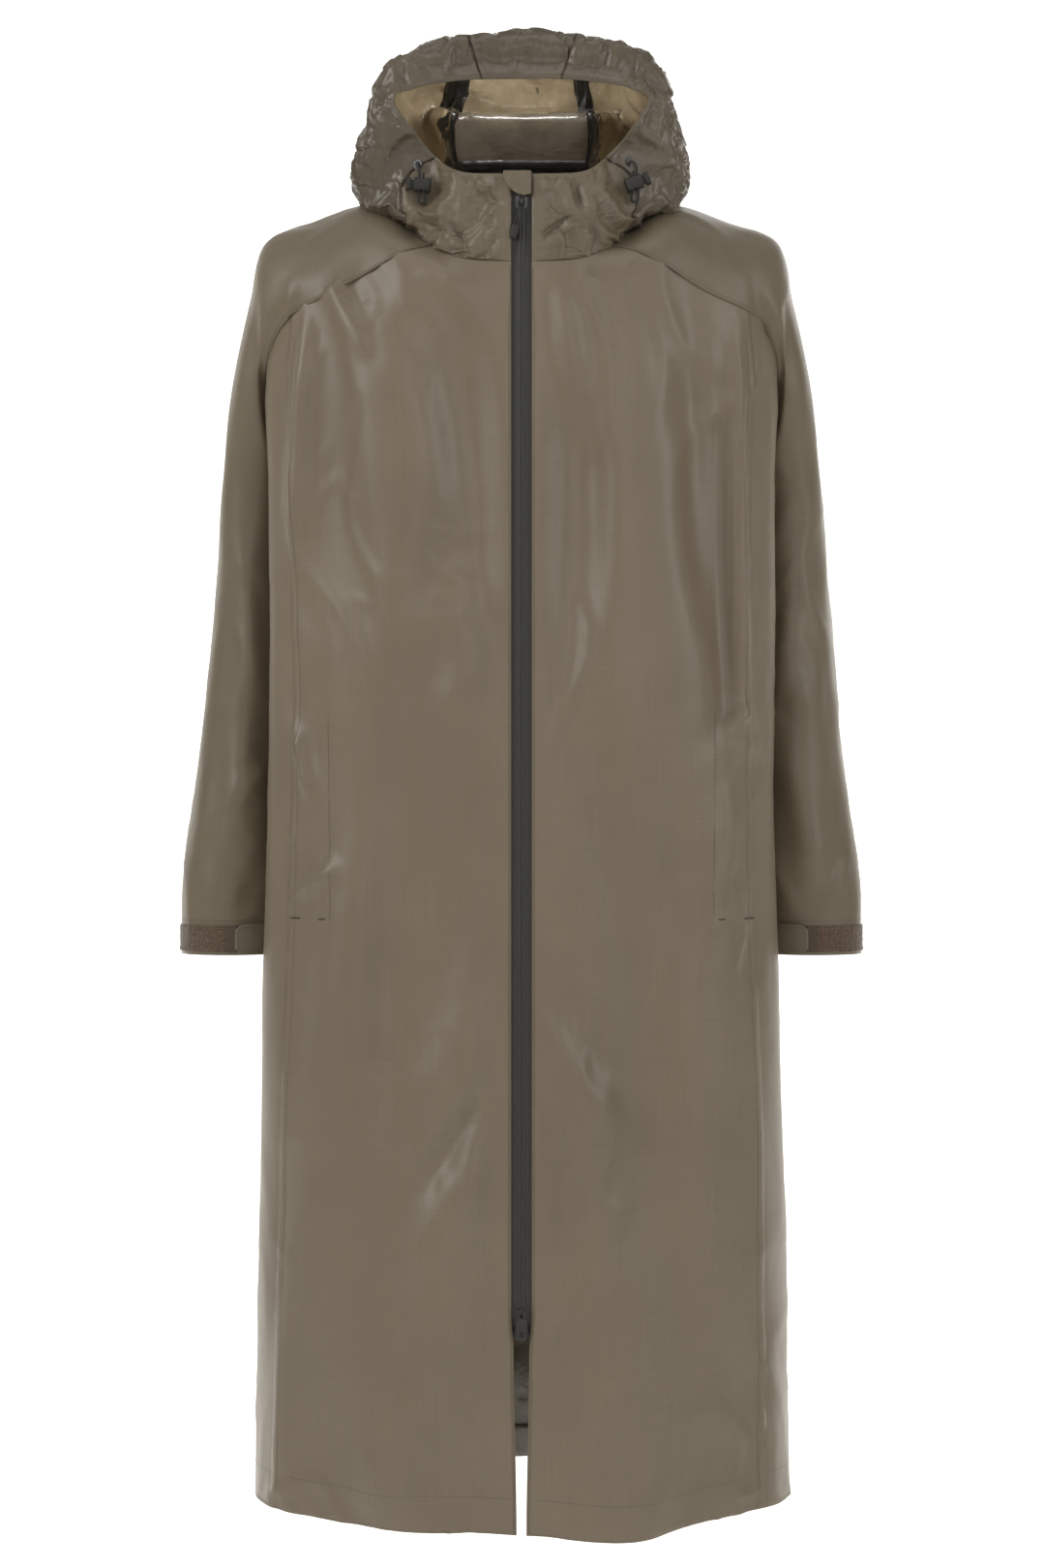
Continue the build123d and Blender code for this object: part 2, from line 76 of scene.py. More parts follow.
def linear(code: str) -> tuple[float, float, float, float]:
    """Turn an sRGB hex colour into linear RGBA.

    Args:
        code: Six hex digits.

    Returns:
        Linear red, green, blue and 1.
    """
    out = []
    for i in (0, 2, 4):
        c = int(code[i : i + 2], 16) / 255
        out.append(c / 12.92 if c <= 0.04045 else ((c + 0.055) / 1.055) ** 2.4)
    return (out[0], out[1], out[2], 1.0)


def add_node(tree, kind: str, links: dict | None = None, **settings):
    """Add one shader node.

    Args:
        tree: Node tree to add to.
        kind: Node type name.
        links: Input name or number to an output socket.
        settings: Attributes of the node, or input values named in_NAME.

    Returns:
        The new node.
    """
    node = tree.nodes.new(kind)
    for key, value in settings.items():
        if key.startswith("in_"):
            name = key[3:].replace("_", " ")
            node.inputs[int(name) if name.isdigit() else name].default_value = value
        else:
            setattr(node, key, value)
    for key, socket in (links or {}).items():
        tree.links.new(socket, node.inputs[key])
    return node


def deselect() -> None:
    """Deselect every object."""
    for obj in bpy.context.selected_objects:
        obj.select_set(False)


def make_active(obj) -> None:
    """Select one object alone and make it active."""
    deselect()
    obj.select_set(True)
    bpy.context.view_layer.objects.active = obj


def apply_modifiers(obj) -> None:
    """Apply every modifier of an object, first to last."""
    make_active(obj)
    for name in [m.name for m in obj.modifiers]:
        bpy.ops.object.modifier_apply(modifier=name)


def hermite(xs: np.ndarray, ys: np.ndarray, xn: np.ndarray) -> np.ndarray:
    """Interpolate smoothly through given values at uneven places.

    Args:
        xs: Rising places, one per value.
        ys: Values, first axis matching xs.
        xn: Places to read.

    Returns:
        Values at xn.
    """
    h = np.diff(xs).reshape((-1,) + (1,) * (ys.ndim - 1))
    d = np.diff(ys, axis=0) / h
    m = np.empty_like(ys)
    m[0], m[-1] = d[0], d[-1]
    m[1:-1] = (d[:-1] * h[1:] + d[1:] * h[:-1]) / (h[1:] + h[:-1])
    i = np.clip(np.searchsorted(xs, xn, side="right") - 1, 0, len(xs) - 2)
    hh = h[i]
    t = ((xn - xs[i]).reshape(hh.shape)) / hh
    a, b = ys[i], ys[i + 1]
    return (
        a * (1 + 2 * t) * (1 - t) ** 2
        + m[i] * hh * t * (1 - t) ** 2
        + b * t * t * (3 - 2 * t)
        + m[i + 1] * hh * t * t * (t - 1)
    )


def even_rows(net: Grid, step: float) -> Grid:
    """Resample a net along its rows at an even spacing.

    Args:
        net: Control points, rows first.
        step: Spacing in millimetres along the longest column.

    Returns:
        A net with many rows and the same columns.
    """
    runs = np.linalg.norm(np.diff(net, axis=0), axis=2).mean(axis=1)
    xs = np.concatenate([[0.0], np.cumsum(np.maximum(runs, 0.5))])
    count = max(3, int(round(xs[-1] / step)) + 1)
    return hermite(xs, net, np.linspace(0, xs[-1], count))


def dense(net: Grid, step_rows: float, step_cols: float) -> Grid:
    """Turn a coarse control net into a dense smooth grid."""
    rows = even_rows(np.asarray(net, float), step_rows)
    return even_rows(rows.transpose(1, 0, 2), step_cols).transpose(1, 0, 2)


def normals(grid: Grid) -> Grid:
    """Return unit normals of a grid: rows' direction crossed with columns'."""
    du = np.gradient(grid, axis=0)
    dv = np.gradient(grid, axis=1)
    n = np.cross(du, dv)
    return n / np.maximum(np.linalg.norm(n, axis=2, keepdims=True), 1e-9)


def mirrored(grid: Grid) -> Grid:
    """Mirror a grid across the middle of the coat."""
    out = grid.copy()
    out[..., 0] *= -1
    return out


def ripple(
    p: np.ndarray, wave: float, seed: int, stretch: Sequence[float] = (1, 1, 1), waves: int = 14
) -> np.ndarray:
    """Sum a few sine waves of random direction into smooth noise.

    Args:
        p: Points, last axis of three, in millimetres.
        wave: Typical wavelength in millimetres.
        seed: Seed of the random directions.
        stretch: Scale of each axis's frequency, so below 1 draws the ripples out along it.
        waves: How many waves to add.

    Returns:
        Values of about -1 to 1.
    """
    rng = np.random.default_rng(seed)
    total = np.zeros(p.shape[:-1])
    for _ in range(waves):
        k = rng.normal(size=3)
        k = k / np.linalg.norm(k) * rng.uniform(0.65, 1.5) * 2 * math.pi / wave
        total += np.sin(p @ (k * np.asarray(stretch)) + rng.uniform(0, 2 * math.pi))
    return total / math.sqrt(waves)


def crumple(
    p: np.ndarray, size: float, seed: int, stretch: Sequence[float] = (1, 1, 1), steps: int = 3
) -> np.ndarray:
    """Pinch cloth into folds with crisp crests that fork and bend, over soft hollows.

    Args:
        p: Points in millimetres.
        size: Distance between the largest crests.
        seed: Seed of the pattern.
        stretch: Scale of each axis's frequency, so below 1 draws the folds out along it.
        steps: How many sizes of fold to add, each about half the last.

    Returns:
        Lift in millimetres, about 0 on the whole.
    """
    bend = np.stack([ripple(p, size * 2.1, seed + 90 + i, waves=8) for i in range(3)], axis=-1)
    warped = p + bend * size * 0.42
    total = np.zeros(p.shape[:-1])
    for n in range(steps):
        wide = size * 0.52**n
        crest = np.clip(1 - np.abs(ripple(warped, wide * 1.6, seed + n, stretch, 10)) * 1.5, 0, 1)
        patch = smoothstep(-0.5, 0.9, ripple(p, size * 2.4, seed + 50 + n, waves=8))
        total += wide * 0.085 * crest**1.35 * patch
    return total - total.mean()


def smoothstep(a: float, b: float, x: np.ndarray) -> np.ndarray:
    """Rise smoothly from 0 at a to 1 at b."""
    t = np.clip((x - a) / (b - a), 0, 1)
    return t * t * (3 - 2 * t)


@dataclass(frozen=True)
class Fold:
    """A fold seen from the front or back, between two points.

    Attributes:
        start: Across and up, where the fold begins.
        end: Across and up, where it dies away.
        width: Half width of the fold.
        height: How far it stands out; below 0 it is a valley.
        sharp: 1 for a round fold, more for a crisp one.
        fade: Share of its length over which each end fades.
    """

    start: tuple[float, float]
    end: tuple[float, float]
    width: float
    height: float
    sharp: float = 1.0
    fade: float = 0.35

    def lift(self, across: np.ndarray, up: np.ndarray) -> np.ndarray:
        """Return how far the fold lifts the cloth at each place."""
        ax, az = self.start
        dx, dz = self.end[0] - ax, self.end[1] - az
        long = math.hypot(dx, dz)
        t = ((across - ax) * dx + (up - az) * dz) / long**2
        off = ((across - ax) * -dz + (up - az) * dx) / long
        past = self.fade * 0.3
        ends = smoothstep(-past, self.fade, t) * (1 - smoothstep(1 - self.fade, 1 + past, t))
        spread = self.width * (0.75 + 0.6 * np.clip(t, 0, 1))
        return self.height * ends * np.exp(-np.abs(off / spread) ** (2 / self.sharp))


def cloth_mesh(
    name: str,
    grid: Grid,
    material,
    inside=None,
    thick: float = 0.5,
    flip: bool = False,
    keep: Callable[[np.ndarray], np.ndarray] | None = None,
):
    """Make a cloth piece from a grid, with a thin wall and smooth shading.

    Args:
        name: Piece name.
        grid: Points in millimetres.
        material: Outer finish.
        inside: Inner finish, or None for the same.
        thick: Wall in millimetres.
        flip: Turn the faces round, where the grid runs the other way.
        keep: Takes face middles in millimetres and says which stay, or None for all. The cut is
            made before the wall, so that the wall closes round it.

    Returns:
        The new object.
    """
    rows, cols = grid.shape[:2]
    r, c = np.meshgrid(np.arange(rows - 1), np.arange(cols - 1), indexing="ij")
    a = (r * cols + c).ravel()
    quads = np.stack([a, a + 1, a + cols + 1, a + cols], axis=1)
    if flip:
        quads = quads[:, ::-1]
    points = grid.reshape(-1, 3)
    if keep is not None:
        quads = quads[keep(points[quads].mean(axis=1))]
    used, quads = np.unique(quads, return_inverse=True)
    quads = quads.reshape(-1, 4)
    mesh = bpy.data.meshes.new(name)
    mesh.from_pydata((points[used] * MM).tolist(), [], quads.tolist())
    mesh.update()
    runs_u = np.concatenate([[0], np.cumsum(np.linalg.norm(np.diff(grid, axis=0), axis=2).mean(axis=1))])
    runs_v = np.concatenate([[0], np.cumsum(np.linalg.norm(np.diff(grid, axis=1), axis=2).mean(axis=0))])
    uv = np.stack(np.meshgrid(runs_v, runs_u), axis=2).reshape(-1, 2)[used] * MM
    layer = mesh.uv_layers.new(name="Cloth")
    loops = np.empty(len(mesh.loops), dtype=np.int32)
    mesh.loops.foreach_get("vertex_index", loops)
    layer.data.foreach_set("uv", uv[loops].ravel())
    obj = bpy.data.objects.new(name, mesh)
    bpy.context.collection.objects.link(obj)
    mesh.materials.append(material)
    mesh.materials.append(inside or material)
    mesh.polygons.foreach_set("use_smooth", [True] * len(mesh.polygons))
    wall = obj.modifiers.new("wall", "SOLIDIFY")
    wall.thickness = thick * MM
    wall.offset = -1
    wall.material_offset = 1
    wall.material_offset_rim = 0
    apply_modifiers(obj)
    return obj


@dataclass(frozen=True)
class Drape:
    """A short cloth simulation that buckles a surface as extra cloth does.

    Attributes:
        swell: Share by which the cloth is larger than the shape it hangs on.
        frames: How many steps it runs.
        hold: How firmly each point is drawn back to its place, from 0 to 1.
        bending: Stiffness against bending.
        cap: Furthest that a point may move, in millimetres.
        gravity: Share of full gravity.
    """

    swell: float = 0.05
    frames: int = 16
    hold: float = 0.12
    bending: float = 0.05
    cap: float = 12.0
    gravity: float = 0.4

    def run(self, grid: Grid, fixed: np.ndarray) -> Grid:
        """Simulate a grid.

        Args:
            grid: Cloth points in millimetres.
            fixed: 0 to 1 for each point, 1 where a seam holds it.

        Returns:
            The grid as the cloth settles.
        """
        rows, cols = grid.shape[:2]
        r, c = np.meshgrid(np.arange(rows - 1), np.arange(cols - 1), indexing="ij")
        a = (r * cols + c).ravel()
        mesh = bpy.data.meshes.new("drape")
        quads = np.stack([a, a + 1, a + cols + 1, a + cols], axis=1)
        mesh.from_pydata((grid.reshape(-1, 3) * MM).tolist(), [], quads.tolist())
        obj = bpy.data.objects.new("drape", mesh)
        bpy.context.collection.objects.link(obj)
        group = obj.vertex_groups.new(name="held")
        weights = np.maximum(np.broadcast_to(fixed, (rows, cols)), self.hold).ravel()
        for step in np.unique(np.round(weights, 2)):
            group.add(np.where(np.round(weights, 2) == step)[0].tolist(), float(step), "REPLACE")
        cloth = obj.modifiers.new("drape", "CLOTH")
        settings = cloth.settings
        settings.vertex_group_mass = "held"
        settings.pin_stiffness = 1.0
        settings.quality = 5
        settings.mass = 0.12
        settings.tension_stiffness = settings.compression_stiffness = 22
        settings.shear_stiffness = 8
        settings.bending_stiffness = self.bending
        settings.tension_damping = settings.compression_damping = 8
        settings.shear_damping = 6
        settings.air_damping = 2
        settings.shrink_min = -self.swell
        settings.effector_weights.gravity = self.gravity
        cloth.collision_settings.use_collision = False
        cloth.point_cache.frame_start, cloth.point_cache.frame_end = 1, self.frames
        scene = bpy.context.scene
        for frame_number in range(1, self.frames + 1):
            scene.frame_set(frame_number)
        settled = obj.evaluated_get(bpy.context.evaluated_depsgraph_get()).to_mesh()
        points = np.empty(rows * cols * 3)
        settled.vertices.foreach_get("co", points)
        bpy.data.objects.remove(obj, do_unlink=True)
        bpy.data.meshes.remove(mesh)
        scene.frame_set(1)
        moved = points.reshape(rows, cols, 3) / MM - grid
        far = np.linalg.norm(moved, axis=2, keepdims=True)
        moved *= self.cap * np.tanh(far / self.cap) / np.maximum(far, 1e-6)
        log.info("draped %d points, mean move %.2f mm", rows * cols, float(far.mean()))
        return grid + moved


def stitch_row(name: str, line: np.ndarray, out: np.ndarray, thread, pitch: float = 3.2, wide: float = 0.5):
    """Lay a row of thread stitches along a line on cloth.

    Args:
        name: Piece name.
        line: Points of the seam in millimetres.
        out: Outward normal at each point.
        thread: Thread finish.
        pitch: Distance from one stitch to the next.
        wide: Width of the thread.

    Returns:
        The new object.
    """
    runs = np.concatenate([[0], np.cumsum(np.linalg.norm(np.diff(line, axis=0), axis=1))])
    count = max(2, int(runs[-1] / pitch))
    starts = np.arange(count) * pitch + 0.35
    heads = np.stack([np.interp(starts, runs, line[:, i]) for i in range(3)], axis=1)
    tails = np.stack([np.interp(starts + pitch * 0.76, runs, line[:, i]) for i in range(3)], axis=1)
    up = np.stack([np.interp(starts, runs, out[:, i]) for i in range(3)], axis=1)
    up /= np.linalg.norm(up, axis=1, keepdims=True)
    along = tails - heads
    along /= np.maximum(np.linalg.norm(along, axis=1, keepdims=True), 1e-9)
    across = np.cross(up, along) * wide / 2
    mid = (heads + tails) / 2
    base, crown = up * 0.05, up * wide * 0.62
    points = np.stack(
        [
            heads - across * 0.5 + base,
            heads + across * 0.5 + base,
            mid - across + crown * 0.9,
            mid + across + crown * 0.9,
            tails - across * 0.5 + base,
            tails + across * 0.5 + base,
            mid + crown * 0.1,
        ],
        axis=1,
    )
    faces = []
    for i in range(count):
        b = i * 7
        faces += [
            (b, b + 1, b + 3, b + 2),
            (b + 2, b + 3, b + 5, b + 4),
            (b, b + 2, b + 6),
            (b + 2, b + 4, b + 6),
            (b + 3, b + 1, b + 6),
            (b + 5, b + 3, b + 6),
            (b + 1, b, b + 6),
            (b + 4, b + 5, b + 6),
        ]
    mesh = bpy.data.meshes.new(name)
    mesh.from_pydata((points.reshape(-1, 3) * MM).tolist(), [], faces)
    mesh.materials.append(thread)
    mesh.update()
    obj = bpy.data.objects.new(name, mesh)
    bpy.context.collection.objects.link(obj)
    return obj


def ride(obj, body: str, slot: str, *nodes: str):
    """Hang a piece on a body, hide the CAD parts it stands for and report it."""
    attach(obj, body)
    if nodes:
        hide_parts(*nodes)
    log.info("%s rides on %s", obj.name, body)
    return obj


# ------------------------------------------------------------------- finishes


@dataclass(frozen=True)
class Taffeta:
    """Polyester taffeta, plain woven and calendered: a tight cloth with a satin gleam.

    Its threads differ a little in thickness, which draws faint lines both ways; broad soft patches of painted
    sheen are mixed into its colour too.
    """

    name: str
    colour: str
    shade: str
    roughness: float = 0.42
    crease: float = 0.75
    crease_mm: float = 60.0
    slub_mm: float = 1.6  # real threads are 0.12 mm apart; only the thick ones are drawn

    def build(self):
        """Make the material."""
        mat = bpy.data.materials.new(self.name)
        mat.use_nodes = True
        tree = mat.node_tree
        shader = tree.nodes["Principled BSDF"]
        uv = add_node(tree, "ShaderNodeUVMap", uv_map="Cloth").outputs["UV"]
        fine = 1 / (self.slub_mm * MM)
        warp = add_node(tree, "ShaderNodeMapping", {"Vector": uv}, in_Scale=(fine, fine / 40, 1))
        weft = add_node(tree, "ShaderNodeMapping", {"Vector": uv}, in_Scale=(fine / 30, fine, 1))
        warps = add_node(tree, "ShaderNodeTexNoise", {"Vector": warp.outputs[0]}, in_Scale=1.0, in_Detail=2.0)
        wefts = add_node(tree, "ShaderNodeTexNoise", {"Vector": weft.outputs[0]}, in_Scale=1.0, in_Detail=2.0)
        threads = add_node(
            tree, "ShaderNodeMath", {0: warps.outputs[0], 1: wefts.outputs[0]}, operation="ADD"
        ).outputs[0]
        place = add_node(tree, "ShaderNodeTexCoord").outputs["Object"]
        # Broad noise patches lighten and darken the colour as painted sheen, the tone that shifts as light plays
        # on the satin gleam; the thread lines mixed with them are the cloth's own.
        sheen_patches = add_node(tree, "ShaderNodeTexNoise", {"Vector": place}, in_Scale=9.0, in_Detail=3.0)
        blend = add_node(
            tree, "ShaderNodeMath", {0: threads, 1: sheen_patches.outputs[0]}, operation="MULTIPLY_ADD", in_2=-0.35
        )
        tree.links.new(sheen_patches.outputs[0], blend.inputs[1])
        ramp = add_node(tree, "ShaderNodeValToRGB", {"Fac": blend.outputs[0]})
        ramp.color_ramp.elements[0].position, ramp.color_ramp.elements[1].position = 0.02, 0.42
        ramp.color_ramp.elements[0].color = linear(self.shade)
        ramp.color_ramp.elements[1].color = linear(self.colour)
        tree.links.new(ramp.outputs[0], shader.inputs["Base Color"])
        lean = add_node(tree, "ShaderNodeMapping", {"Vector": place}, in_Scale=(1.0, 1.0, 0.42))
        creases = add_node(
            tree, "ShaderNodeTexNoise", {"Vector": lean.outputs[0]}, noise_type="RIDGED_MULTIFRACTAL",
            in_Scale=1 / (self.crease_mm * MM), in_Detail=2.0, in_Distortion=0.5,
        )
        worn = add_node(tree, "ShaderNodeBump", {"Height": creases.outputs[0]}, in_Strength=self.crease,
                        in_Distance=0.003)
        bump = add_node(tree, "ShaderNodeBump", {"Height": threads, "Normal": worn.outputs[0]},
                        in_Strength=0.12, in_Distance=0.0002)
        tree.links.new(bump.outputs[0], shader.inputs["Normal"])
        shader.inputs["Roughness"].default_value = self.roughness
        shader.inputs["Specular IOR Level"].default_value = 0.55
        shader.inputs["Sheen Weight"].default_value = 0.05
        shader.inputs["Sheen Roughness"].default_value = 0.35
        return mat


@dataclass(frozen=True)
class Coating:
    """Clear polyurethane coating on the cloth's inner face: thin, glossy and finely wrinkled."""

    name: str
    colour: str
    shade: str
    roughness: float = 0.24
    wrinkle_mm: float = 7.0

    def build(self):
        """Make the material."""
        mat = bpy.data.materials.new(self.name)
        mat.use_nodes = True
        tree = mat.node_tree
        shader = tree.nodes["Principled BSDF"]
        place = add_node(tree, "ShaderNodeTexCoord").outputs["Object"]
        creases = add_node(
            tree, "ShaderNodeTexNoise", {"Vector": place}, in_Scale=1 / (self.wrinkle_mm * MM), in_Detail=4.0
        )
        film = add_node(tree, "ShaderNodeTexNoise", {"Vector": place}, in_Scale=22.0, in_Detail=3.0)
        ramp = add_node(tree, "ShaderNodeValToRGB", {"Fac": film.outputs[0]})
        ramp.color_ramp.elements[0].position, ramp.color_ramp.elements[1].position = 0.35, 0.65
        ramp.color_ramp.elements[0].color = linear(self.shade)
        ramp.color_ramp.elements[1].color = linear(self.colour)
        tree.links.new(ramp.outputs[0], shader.inputs["Base Color"])
        bump = add_node(
            tree, "ShaderNodeBump", {"Height": creases.outputs[0]}, in_Strength=0.5, in_Distance=0.002
        )
        tree.links.new(bump.outputs[0], shader.inputs["Normal"])
        shader.inputs["Roughness"].default_value = self.roughness
        shader.inputs["Coat Weight"].default_value = 0.5
        shader.inputs["Coat Roughness"].default_value = 0.12
        return mat


@dataclass(frozen=True)
class Surface:
    """A plain solid finish with fine grain: moulded, lacquered, woven or brushed.

    Attributes:
        name: What it is.
        colour: Its colour where it stands out.
        shade: Its colour in the grain's hollows.
        roughness: Roughness of the surface.
        grain_mm: Size of the grain.
        depth: Strength of the grain's relief.
        metallic: 1 for bare metal.
        coat: Clear lacquer over it.
        sheen: Fibre fuzz over it.
        stretch: Grain frequency along each axis.
    """

    name: str
    colour: str
    shade: str
    roughness: float
    grain_mm: float
    depth: float = 0.2
    metallic: float = 0.0
    coat: float = 0.0
    sheen: float = 0.0
    stretch: tuple[float, float, float] = (1.0, 1.0, 1.0)

    def build(self):
        """Make the material."""
        mat = bpy.data.materials.new(self.name)
        mat.use_nodes = True
        tree = mat.node_tree
        shader = tree.nodes["Principled BSDF"]
        place = add_node(tree, "ShaderNodeTexCoord").outputs["Object"]
        scaled = add_node(tree, "ShaderNodeMapping", {"Vector": place}, in_Scale=self.stretch)
        grain = add_node(
            tree,
            "ShaderNodeTexNoise",
            {"Vector": scaled.outputs[0]},
            in_Scale=1 / (self.grain_mm * MM),
            in_Detail=4.0,
        )
        ramp = add_node(tree, "ShaderNodeValToRGB", {"Fac": grain.outputs[0]})
        ramp.color_ramp.elements[0].position, ramp.color_ramp.elements[1].position = 0.32, 0.68
        ramp.color_ramp.elements[0].color = linear(self.shade)
        ramp.color_ramp.elements[1].color = linear(self.colour)
        tree.links.new(ramp.outputs[0], shader.inputs["Base Color"])
        bump = add_node(
            tree,
            "ShaderNodeBump",
            {"Height": grain.outputs[0]},
            in_Strength=self.depth,
            in_Distance=self.grain_mm * MM * 0.3,
        )
        tree.links.new(bump.outputs[0], shader.inputs["Normal"])
        shader.inputs["Roughness"].default_value = self.roughness
        shader.inputs["Metallic"].default_value = self.metallic
        shader.inputs["Coat Weight"].default_value = self.coat
        shader.inputs["Sheen Weight"].default_value = self.sheen
        return mat


@dataclass
class Finishes:
    """Every finish of the coat, built once."""

    shell: object = field(default_factory=lambda: Taffeta("taffeta_shell", "7e715e", "776a58").build())
    yoke: object = field(
        default_factory=lambda: Taffeta("taffeta_yoke", "776a57", "6f6350", 0.44, 0.55).build()
    )
    hood: object = field(
        default_factory=lambda: Taffeta("taffeta_hood", "6b6151", "5c5243", 0.34, 0.75, 34.0).build()
    )
    tab: object = field(default_factory=lambda: Taffeta("taffeta_tab", "786d5a", "6c6251").build())
    lining: object = field(default_factory=lambda: Coating("inner_coating", "ab9a7d", "8f7f63", 0.2).build())
    # A darker copy of the inner coating: painted shade for the coat's inside, the turned hem, the pocket bags
    # and the fold inside the hood.
    painted_shade_lining: object = field(
        default_factory=lambda: Coating("inner_coating_painted_shade", "6b6254", "544c40", 0.2).build()
    )
    seal_tape: object = field(
        default_factory=lambda: Surface(
            "heat_seal_tape", "23211e", "191816", 0.22, 5.0, depth=0.35, coat=0.6
        ).build()
    )
    zip_tape: object = field(
        default_factory=lambda: Surface("coated_zip_tape", "3b3a36", "302f2c", 0.55, 0.9, depth=0.3).build()
    )
    zip_coil: object = field(
        default_factory=lambda: Surface("nylon_coil", "2a2926", "1f1e1c", 0.5, 0.6, depth=0.2).build()
    )
    zip_metal: object = field(
        default_factory=lambda: Surface(
            "black_lacquered_zinc", "24221f", "1b1a18", 0.34, 1.2, depth=0.06, coat=0.5
        ).build()
    )
    moulded: object = field(
        default_factory=lambda: Surface("moulded_acetal", "302e2a", "282622", 0.55, 0.7, depth=0.08).build()
    )
    eyelet: object = field(
        default_factory=lambda: Surface(
            "lacquered_brass_eyelet", "2b2823", "1d1b18", 0.5, 0.8, depth=0.05, coat=0.3
        ).build()
    )
    cord: object = field(
        default_factory=lambda: Surface(
            "braided_polyester_cord", "2c2a27", "191816", 0.75, 0.7, depth=0.6, sheen=0.2
        ).build()
    )
    steel: object = field(
        default_factory=lambda: Surface(
            "spring_steel", "a9a9a5", "8a8a86", 0.3, 0.5, depth=0.1, metallic=1.0
        ).build()
    )
    loop_pile: object = field(
        default_factory=lambda: Surface(
            "loop_tape_pile", "705a47", "3f3126", 0.95, 1.3, depth=1.0, sheen=0.5
        ).build()
    )
    hooks: object = field(
        default_factory=lambda: Surface("hook_tape", "5a4b3c", "403429", 0.6, 1.1, depth=0.8).build()
    )
    thread: object = field(
        default_factory=lambda: Surface("polyester_thread", "5e5444", "4d4437", 0.6, 0.3, depth=0.3).build()
    )
    patch_thread: object = field(
        default_factory=lambda: Surface("brown_thread", "7d6a55", "69573f", 0.6, 0.3, depth=0.3).build()
    )
    satin: object = field(
        default_factory=lambda: Surface("woven_satin_label", "d9d5cc", "cbc6bb", 0.5, 0.5, depth=0.2).build()
    )


# ------------------------------------------------------------------- the coat

FRONT_EDGE_X = 9.0  # front edges stand this far from the middle beside the zip
FRONT_Y = -125.0
NECK_Z = -81.0
HEM_Z = -1191.0
SLIDER_Z = -1003.0
HEM_TURN = 23.0
FOLD_LIMIT = 13.0  # furthest that a fold of the body stands in or out
FRONT_FOLD_GAIN = 2.9
BACK_FOLD_GAIN = 1.9
INNER_FOLD_DEPTH = 62.0  # how far the hood's back lies forward
HOOD_HARDWARE = (((-92, 12), (-88, -8)), ((97, 15), (100, -6)))  # across and up: eyelet, cord lock
"""Main sizes, in millimetres, which the frame's nodes share."""

TORSO_LONGITUDES = (
    ((9, -125, -81), (9, -125, -95), (9, -125, -112)),
    ((50, -117, -77), (52, -122, -92), (56, -123, -112)),
    ((79, -98, -62), (105, -106, -72), (135, -104, -95)),
    ((90, -70, -48), (150, -75, -30), (200, -70, -70)),
    ((92, -45, -38), (150, -30, -6), (212, -30, -45)),
    ((84, -8, -22), (140, 10, -6), (200, 15, -50)),
    ((64, 16, -11), (115, 50, -22), (160, 75, -75)),
    ((35, 30, -6), (60, 62, -22), (80, 95, -80)),
    ((0, 35, -4), (0, 66, -20), (0, 100, -80)),
)
TORSO_RINGS = (  # height, half width, middle, depth in front, depth behind
    (-140, 228, -46, 79, 144),
    (-270, 229, -50, 75, 165),
    (-400, 229, -50, 75, 170),
    (-745, 236, -30, 95, 160),
    (-1000, 242, -18, 107, 157),
    (-1191, 246, -10, 115, 155),
)
SLEEVE_ROWS = (
    ((79, -98, -62), (88, -80, -52), (92, -60, -43), (92, -45, -37), (90, -25, -29),
     (84, -8, -22), (74, 6, -16), (64, 16, -11), (52, 24, -8)),
    ((120, -108, -76), (124, -98, -56), (128, -80, -38), (132, -55, -22), (134, -25, -12),
     (132, 5, -10), (128, 35, -17), (122, 60, -31), (116, 75, -48)),
    ((172, -97, -106), (182, -88, -82), (187, -70, -57), (189, -45, -37), (190, -18, -27),
     (188, 10, -27), (184, 38, -37), (177, 60, -56), (166, 78, -80)),
    ((218, -70, -128), (226, -72, -104), (230, -60, -74), (232, -40, -52), (232, -15, -44),
     (230, 12, -46), (226, 38, -58), (216, 62, -84), (200, 82, -118)),
    ((222, -40, -170), (234, -52, -150), (243, -48, -125), (247, -34, -108), (249, -12, -100),
     (248, 14, -102), (243, 40, -116), (232, 64, -142), (212, 84, -170)),
    ((214, -20, -225), (236, -38, -205), (255, -36, -190), (264, -20, -182), (267, 4, -180),
     (264, 30, -182), (256, 56, -192), (238, 76, -208), (212, 80, -225)),
    ((208, 35, -278), (228, -10, -268), (254, -16, -262), (272, -2, -258), (276, 24, -256),
     (272, 52, -258), (256, 76, -262), (232, 76, -268), (208, 35, -278)),
)  # fmt: skip
SLEEVE_RINGS = (  # height, middle across, middle front to back, half width, half depth
    (-340, 250, 48, 36, 60),
    (-450, 255, 46, 40, 60),
    (-560, 262, 40, 44, 54),
    (-640, 268, 32, 46, 46),
    (-697, 270, 30, 46, 42),
)
